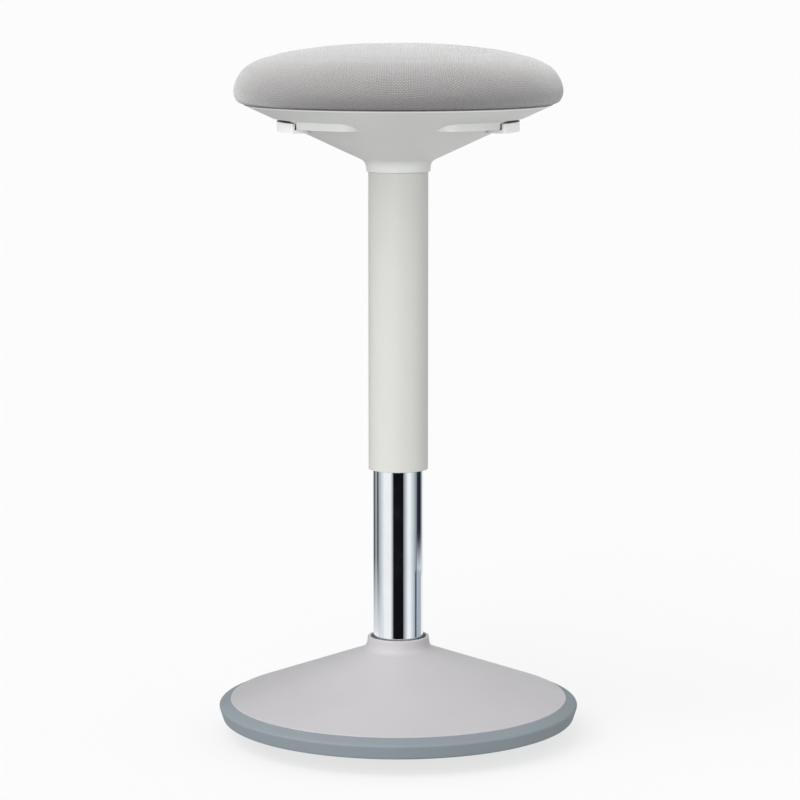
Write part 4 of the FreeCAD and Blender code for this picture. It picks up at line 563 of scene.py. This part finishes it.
# The cloth is a plain weave of mixed grey yarns, about six thick threads to the centimetre.
# Each thread arches from gap to gap, wanders a little, and has a tone of its own by its number.
THREAD_ROUND = 2.9
DRIFT = 0.003
OTHER_YARNS = 971.3
woven_cloth, given, made = new_effect(
    "woven_cloth",
    {"Warp colour": (0.5, 0.5, 0.5, 1), "Weft colour": (0.6, 0.6, 0.6, 1),
     "Gap colour": (0.3, 0.3, 0.3, 1), "Threads": 600.0},
    {"Colour": "Color", "Roughness": "Float", "Height": "Float"},
)
weave = partial(work, woven_cloth)
shift = partial(put, woven_cloth, "ShaderNodeVectorMath")
place = put(woven_cloth, "ShaderNodeAttribute", attribute_name="cloth_place").outputs["Vector"]
wander = put(woven_cloth, "ShaderNodeTexNoise", {"Vector": place, "Scale": 14.0, "Detail": 1.0})
drift = shift({0: wander.outputs[1], 1: (0.5, 0.5, 0.5)}, operation="SUBTRACT").outputs[0]
drifted = shift({0: drift, "Scale": DRIFT}, operation="SCALE").outputs[0]
place = shift({0: place, 1: drifted}, operation="ADD").outputs[0]
parts = put(woven_cloth, "ShaderNodeSeparateXYZ", {0: place}).outputs
across = weave("MULTIPLY", parts[0], given["Threads"])
along = weave("MULTIPLY", parts[1], given["Threads"])
warp_number = weave("FLOOR", across)
weft_number = weave("FLOOR", along)
warp_middle = weave("ABSOLUTE", weave("SUBTRACT", weave("FRACT", across), 0.5))
weft_middle = weave("ABSOLUTE", weave("SUBTRACT", weave("FRACT", along), 0.5))
warp_round = weave("COSINE", weave("MULTIPLY", warp_middle, THREAD_ROUND))
weft_round = weave("COSINE", weave("MULTIPLY", weft_middle, THREAD_ROUND))
warp_arch = weave("MULTIPLY", warp_round, weave("ADD", weave("MULTIPLY", weft_round, 0.5), 0.5))
weft_arch = weave("MULTIPLY", weft_round, weave("ADD", weave("MULTIPLY", warp_round, 0.5), 0.5))
over = weave("MODULO", weave("ABSOLUTE", weave("ADD", warp_number, weft_number)), 2.0)
under = weave("SUBTRACT", 1.0, over)
height = weave("ADD", weave("MULTIPLY", warp_arch, over), weave("MULTIPLY", weft_arch, under))
warp_tone, weft_tone = (
    put(woven_cloth, "ShaderNodeTexWhiteNoise", {"W": number}, noise_dimensions="1D").outputs[0]
    for number in (warp_number, weave("ADD", weft_number, OTHER_YARNS)))
yarn_tone = weave("ADD", weave("MULTIPLY", warp_tone, over), weave("MULTIPLY", weft_tone, under))
fluff = blotches(woven_cloth, place, scale=5200.0, detail=2.0)
flecks = blotches(woven_cloth, place, scale=420.0, detail=3.0)
toned = mixed(woven_cloth, over, given["Weft colour"], given["Warp colour"])
for share in (weave("MULTIPLY", yarn_tone, 0.12),
              spread(woven_cloth, flecks, 0.45, 0.75, 0.0, 0.25),
              spread(woven_cloth, height, 0.75, 0.2, 0.0, 0.8)):
    toned = mixed(woven_cloth, share, toned, given["Gap colour"])
woven_cloth.links.new(toned, made["Colour"])
woven_cloth.links.new(spread(woven_cloth, fluff, 0.3, 0.7, 0.82, 0.98), made["Roughness"])
woven_cloth.links.new(weave("ADD", height, weave("MULTIPLY", fluff, 0.35)), made["Height"])

# The cover darkens towards its hem as painted shade, and is painted black in the seam as shadow.
YARN_GAP = (0.11, 0.107, 0.106, 1)
cover_fabric, tree, shader = new_finish("cover_fabric", specular_ior_level=0.2, sheen_weight=0.8,
                                        sheen_roughness=0.5)
cloth = use_effect(tree, woven_cloth, warp_colour=(0.325, 0.314, 0.312, 1),
                   weft_colour=(0.425, 0.414, 0.412, 1), gap_colour=YARN_GAP, threads=600.0)
# Painted shade: the cloth darkens from the middle of its side down to the hem.
hem_shade = use_effect(tree, height_tint, colour=cloth["Colour"], tint_colour=YARN_GAP,
                  from_height=0.668, to_height=0.639, amount=0.55)
# Painted shadow: black where the cover tucks into the seam.
tuck_shadow = use_effect(tree, height_tint, colour=hem_shade["Colour"], tint_colour=(0.02, 0.02, 0.02, 1),
                    from_height=0.6376, to_height=0.6358, amount=0.85)
tree.links.new(tuck_shadow["Colour"], shader["Base Color"])
tree.links.new(cloth["Roughness"], shader["Roughness"])
tree.links.new(bumped(tree, cloth["Height"], distance=0.0003, strength=0.8), shader["Normal"])
cushion.data.materials.append(cover_fabric)
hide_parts("seat_cover", "seat_foam")
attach(cushion, "seat")


# Studio: a plain pale floor, an even pale sky and two soft lamps, one high on the left and one
# low in front. Upright cards stand round the stool, seen only in gloss, for the dark and grey
# bands in the chrome.
BLACK = (0.006, 0.006, 0.008)
FLOOR_TONE = (0.8, 0.82, 0.84, 1)


def card(name, first, last, distance, first_tone, last_tone, fade=0.0, low=-0.01, high=0.5):
    """An upright card from one direction to another, in degrees from the front.

    It is graded between two tones, and fades into the floor's tone at its foot.
    """
    ends = []
    for direction in (first, last):
        turn = math.radians(direction)
        ends.append((distance * math.sin(turn), -distance * math.cos(turn)))
    left, right = ends
    mesh = bpy.data.meshes.new(name)
    mesh.from_pydata([(*left, low), (*right, low), (*right, high), (*left, high)], [],
                     [(0, 1, 2, 3)])
    tones = mesh.color_attributes.new("tone", "FLOAT_COLOR", "POINT")
    for index, tone in enumerate((first_tone, last_tone, last_tone, first_tone)):
        tones.data[index].color = (*tone, 1)
    piece = bpy.data.objects.new(name, mesh)
    bpy.context.scene.collection.objects.link(piece)
    material, tree, shader = new_finish(name, base_color=(0, 0, 0, 1), roughness=1.0,
                                        specular_ior_level=0.0, emission_strength=1.0)
    shown = put(tree, "ShaderNodeAttribute", attribute_name="tone").outputs["Color"]
    if fade:
        shown = mixed(tree, spread(tree, upward(tree, on_piece(tree)), 0.0, fade), FLOOR_TONE,
                      shown)
    tree.links.new(shown, shader["Emission Color"])
    piece.data.materials.append(material)
    piece.visible_camera = False
    piece.visible_diffuse = False
    piece.visible_shadow = False
    piece.visible_transmission = False
    piece.visible_volume_scatter = False


card("card_front", -22.7, 22.7, 0.36, BLACK, BLACK)
card("card_front_left", -34, -22.7, 0.36, (0.9, 0.92, 0.94), (0.22, 0.23, 0.25))
card("card_front_right", 22.7, 42, 0.36, (0.2, 0.22, 0.26), (0.85, 0.88, 0.92))
card("card_right_soft", 56, 94, 0.42, (0.9, 0.93, 0.96), (0.13, 0.17, 0.22))
card("card_right_dark", 94, 124, 0.85, (0.03, 0.035, 0.045), (0.008, 0.008, 0.01), fade=0.05)
card("card_right_far", 124, 152, 0.85, (0.12, 0.13, 0.14), (0.9, 0.92, 0.95), fade=0.05)
card("card_blue", 82, 91, 0.37, (0.03, 0.09, 0.26), (0.02, 0.06, 0.2), low=0.012, high=0.1)
card("card_right_low", 96, 130, 0.46, (0.36, 0.42, 0.45), (0.5, 0.53, 0.55), high=0.085)
card("card_left_soft", -103, -68, 0.46, (0.3, 0.32, 0.36), (0.92, 0.94, 0.95), fade=0.07)
card("card_left_line", -113, -103, 0.5, (0.025, 0.03, 0.035), (0.04, 0.045, 0.055), fade=0.09)
card("card_left_gap", -137, -113, 0.5, (0.28, 0.3, 0.3), (0.42, 0.44, 0.45), fade=0.09)
card("card_left_far", -170, -137, 0.5, (0.35, 0.35, 0.38), (0.015, 0.02, 0.02), fade=0.09)

FLOOR_REACH = 90
corners = [(-FLOOR_REACH, -FLOOR_REACH, 0), (FLOOR_REACH, -FLOOR_REACH, 0),
           (FLOOR_REACH, FLOOR_REACH, 0), (-FLOOR_REACH, FLOOR_REACH, 0)]
floor_mesh = bpy.data.meshes.new("floor")
floor_mesh.from_pydata(corners, [], [(0, 1, 2, 3)])
floor = bpy.data.objects.new("floor", floor_mesh)
bpy.context.scene.collection.objects.link(floor)
pale_floor, tree, shader = new_finish("pale_floor", base_color=(0.22, 0.22, 0.22, 1), roughness=1.0,
                                      specular_ior_level=0.0, emission_color=(1, 1, 1, 1))
seen = put(tree, "ShaderNodeLightPath").outputs
shown = work(tree, "MAXIMUM", seen["Is Camera Ray"], seen["Is Glossy Ray"])
tree.links.new(spread(tree, shown, 0.0, 1.0, 0.42, 0.7), shader["Emission Strength"])
floor.data.materials.append(pale_floor)

# The sky dims overhead, and where the camera sees it, it has the tone of the floor.
SKY_SEEN = 0.975
world = bpy.data.worlds.new("sky")
bpy.context.scene.world = world
world.use_nodes = True
tree = world.node_tree
sky = tree.nodes["Background"].inputs
sky["Color"].default_value = (1.0, 1.0, 1.0, 1)
rise = upward(tree, put(tree, "ShaderNodeTexCoord").outputs["Generated"])
overhead = spread(tree, rise, 0.0, 0.8, 1.2, 0.64)
seen = put(tree, "ShaderNodeLightPath").outputs["Is Camera Ray"]
strength = put(tree, "ShaderNodeMix", {0: seen, 2: overhead, 3: SKY_SEEN}, data_type="FLOAT")
tree.links.new(strength.outputs[0], sky["Strength"])

for lamp_name, energy, width, heading in (("high_lamp", 1.6, 50, (0.5, 0.55, -1.0)),
                                          ("front_lamp", 1.15, 30, (0.22, 0.95, -0.2))):
    lamp_data = bpy.data.lights.new(lamp_name, "SUN")
    lamp_data.energy = energy
    lamp_data.angle = math.radians(width)
    lamp = bpy.data.objects.new(lamp_name, lamp_data)
    bpy.context.scene.collection.objects.link(lamp)
    lamp.rotation_euler = Vector(heading).to_track_quat("-Z", "Y").to_euler()

CAMERA_PLACE = (0.0017, -3.0343, 0.7688)
CAMERA_DIP = 8.044
CAMERA_LENS = 138.33
camera_data = bpy.data.cameras.new("camera")
camera_data.lens = CAMERA_LENS
camera_data.sensor_width = 36
camera_data.clip_end = 300
camera = bpy.data.objects.new("camera", camera_data)
bpy.context.scene.collection.objects.link(camera)
camera.location = CAMERA_PLACE
camera.rotation_euler = (math.radians(90 - CAMERA_DIP), 0, 0)
bpy.context.scene.camera = camera
bpy.context.scene.view_settings.view_transform = "Standard"
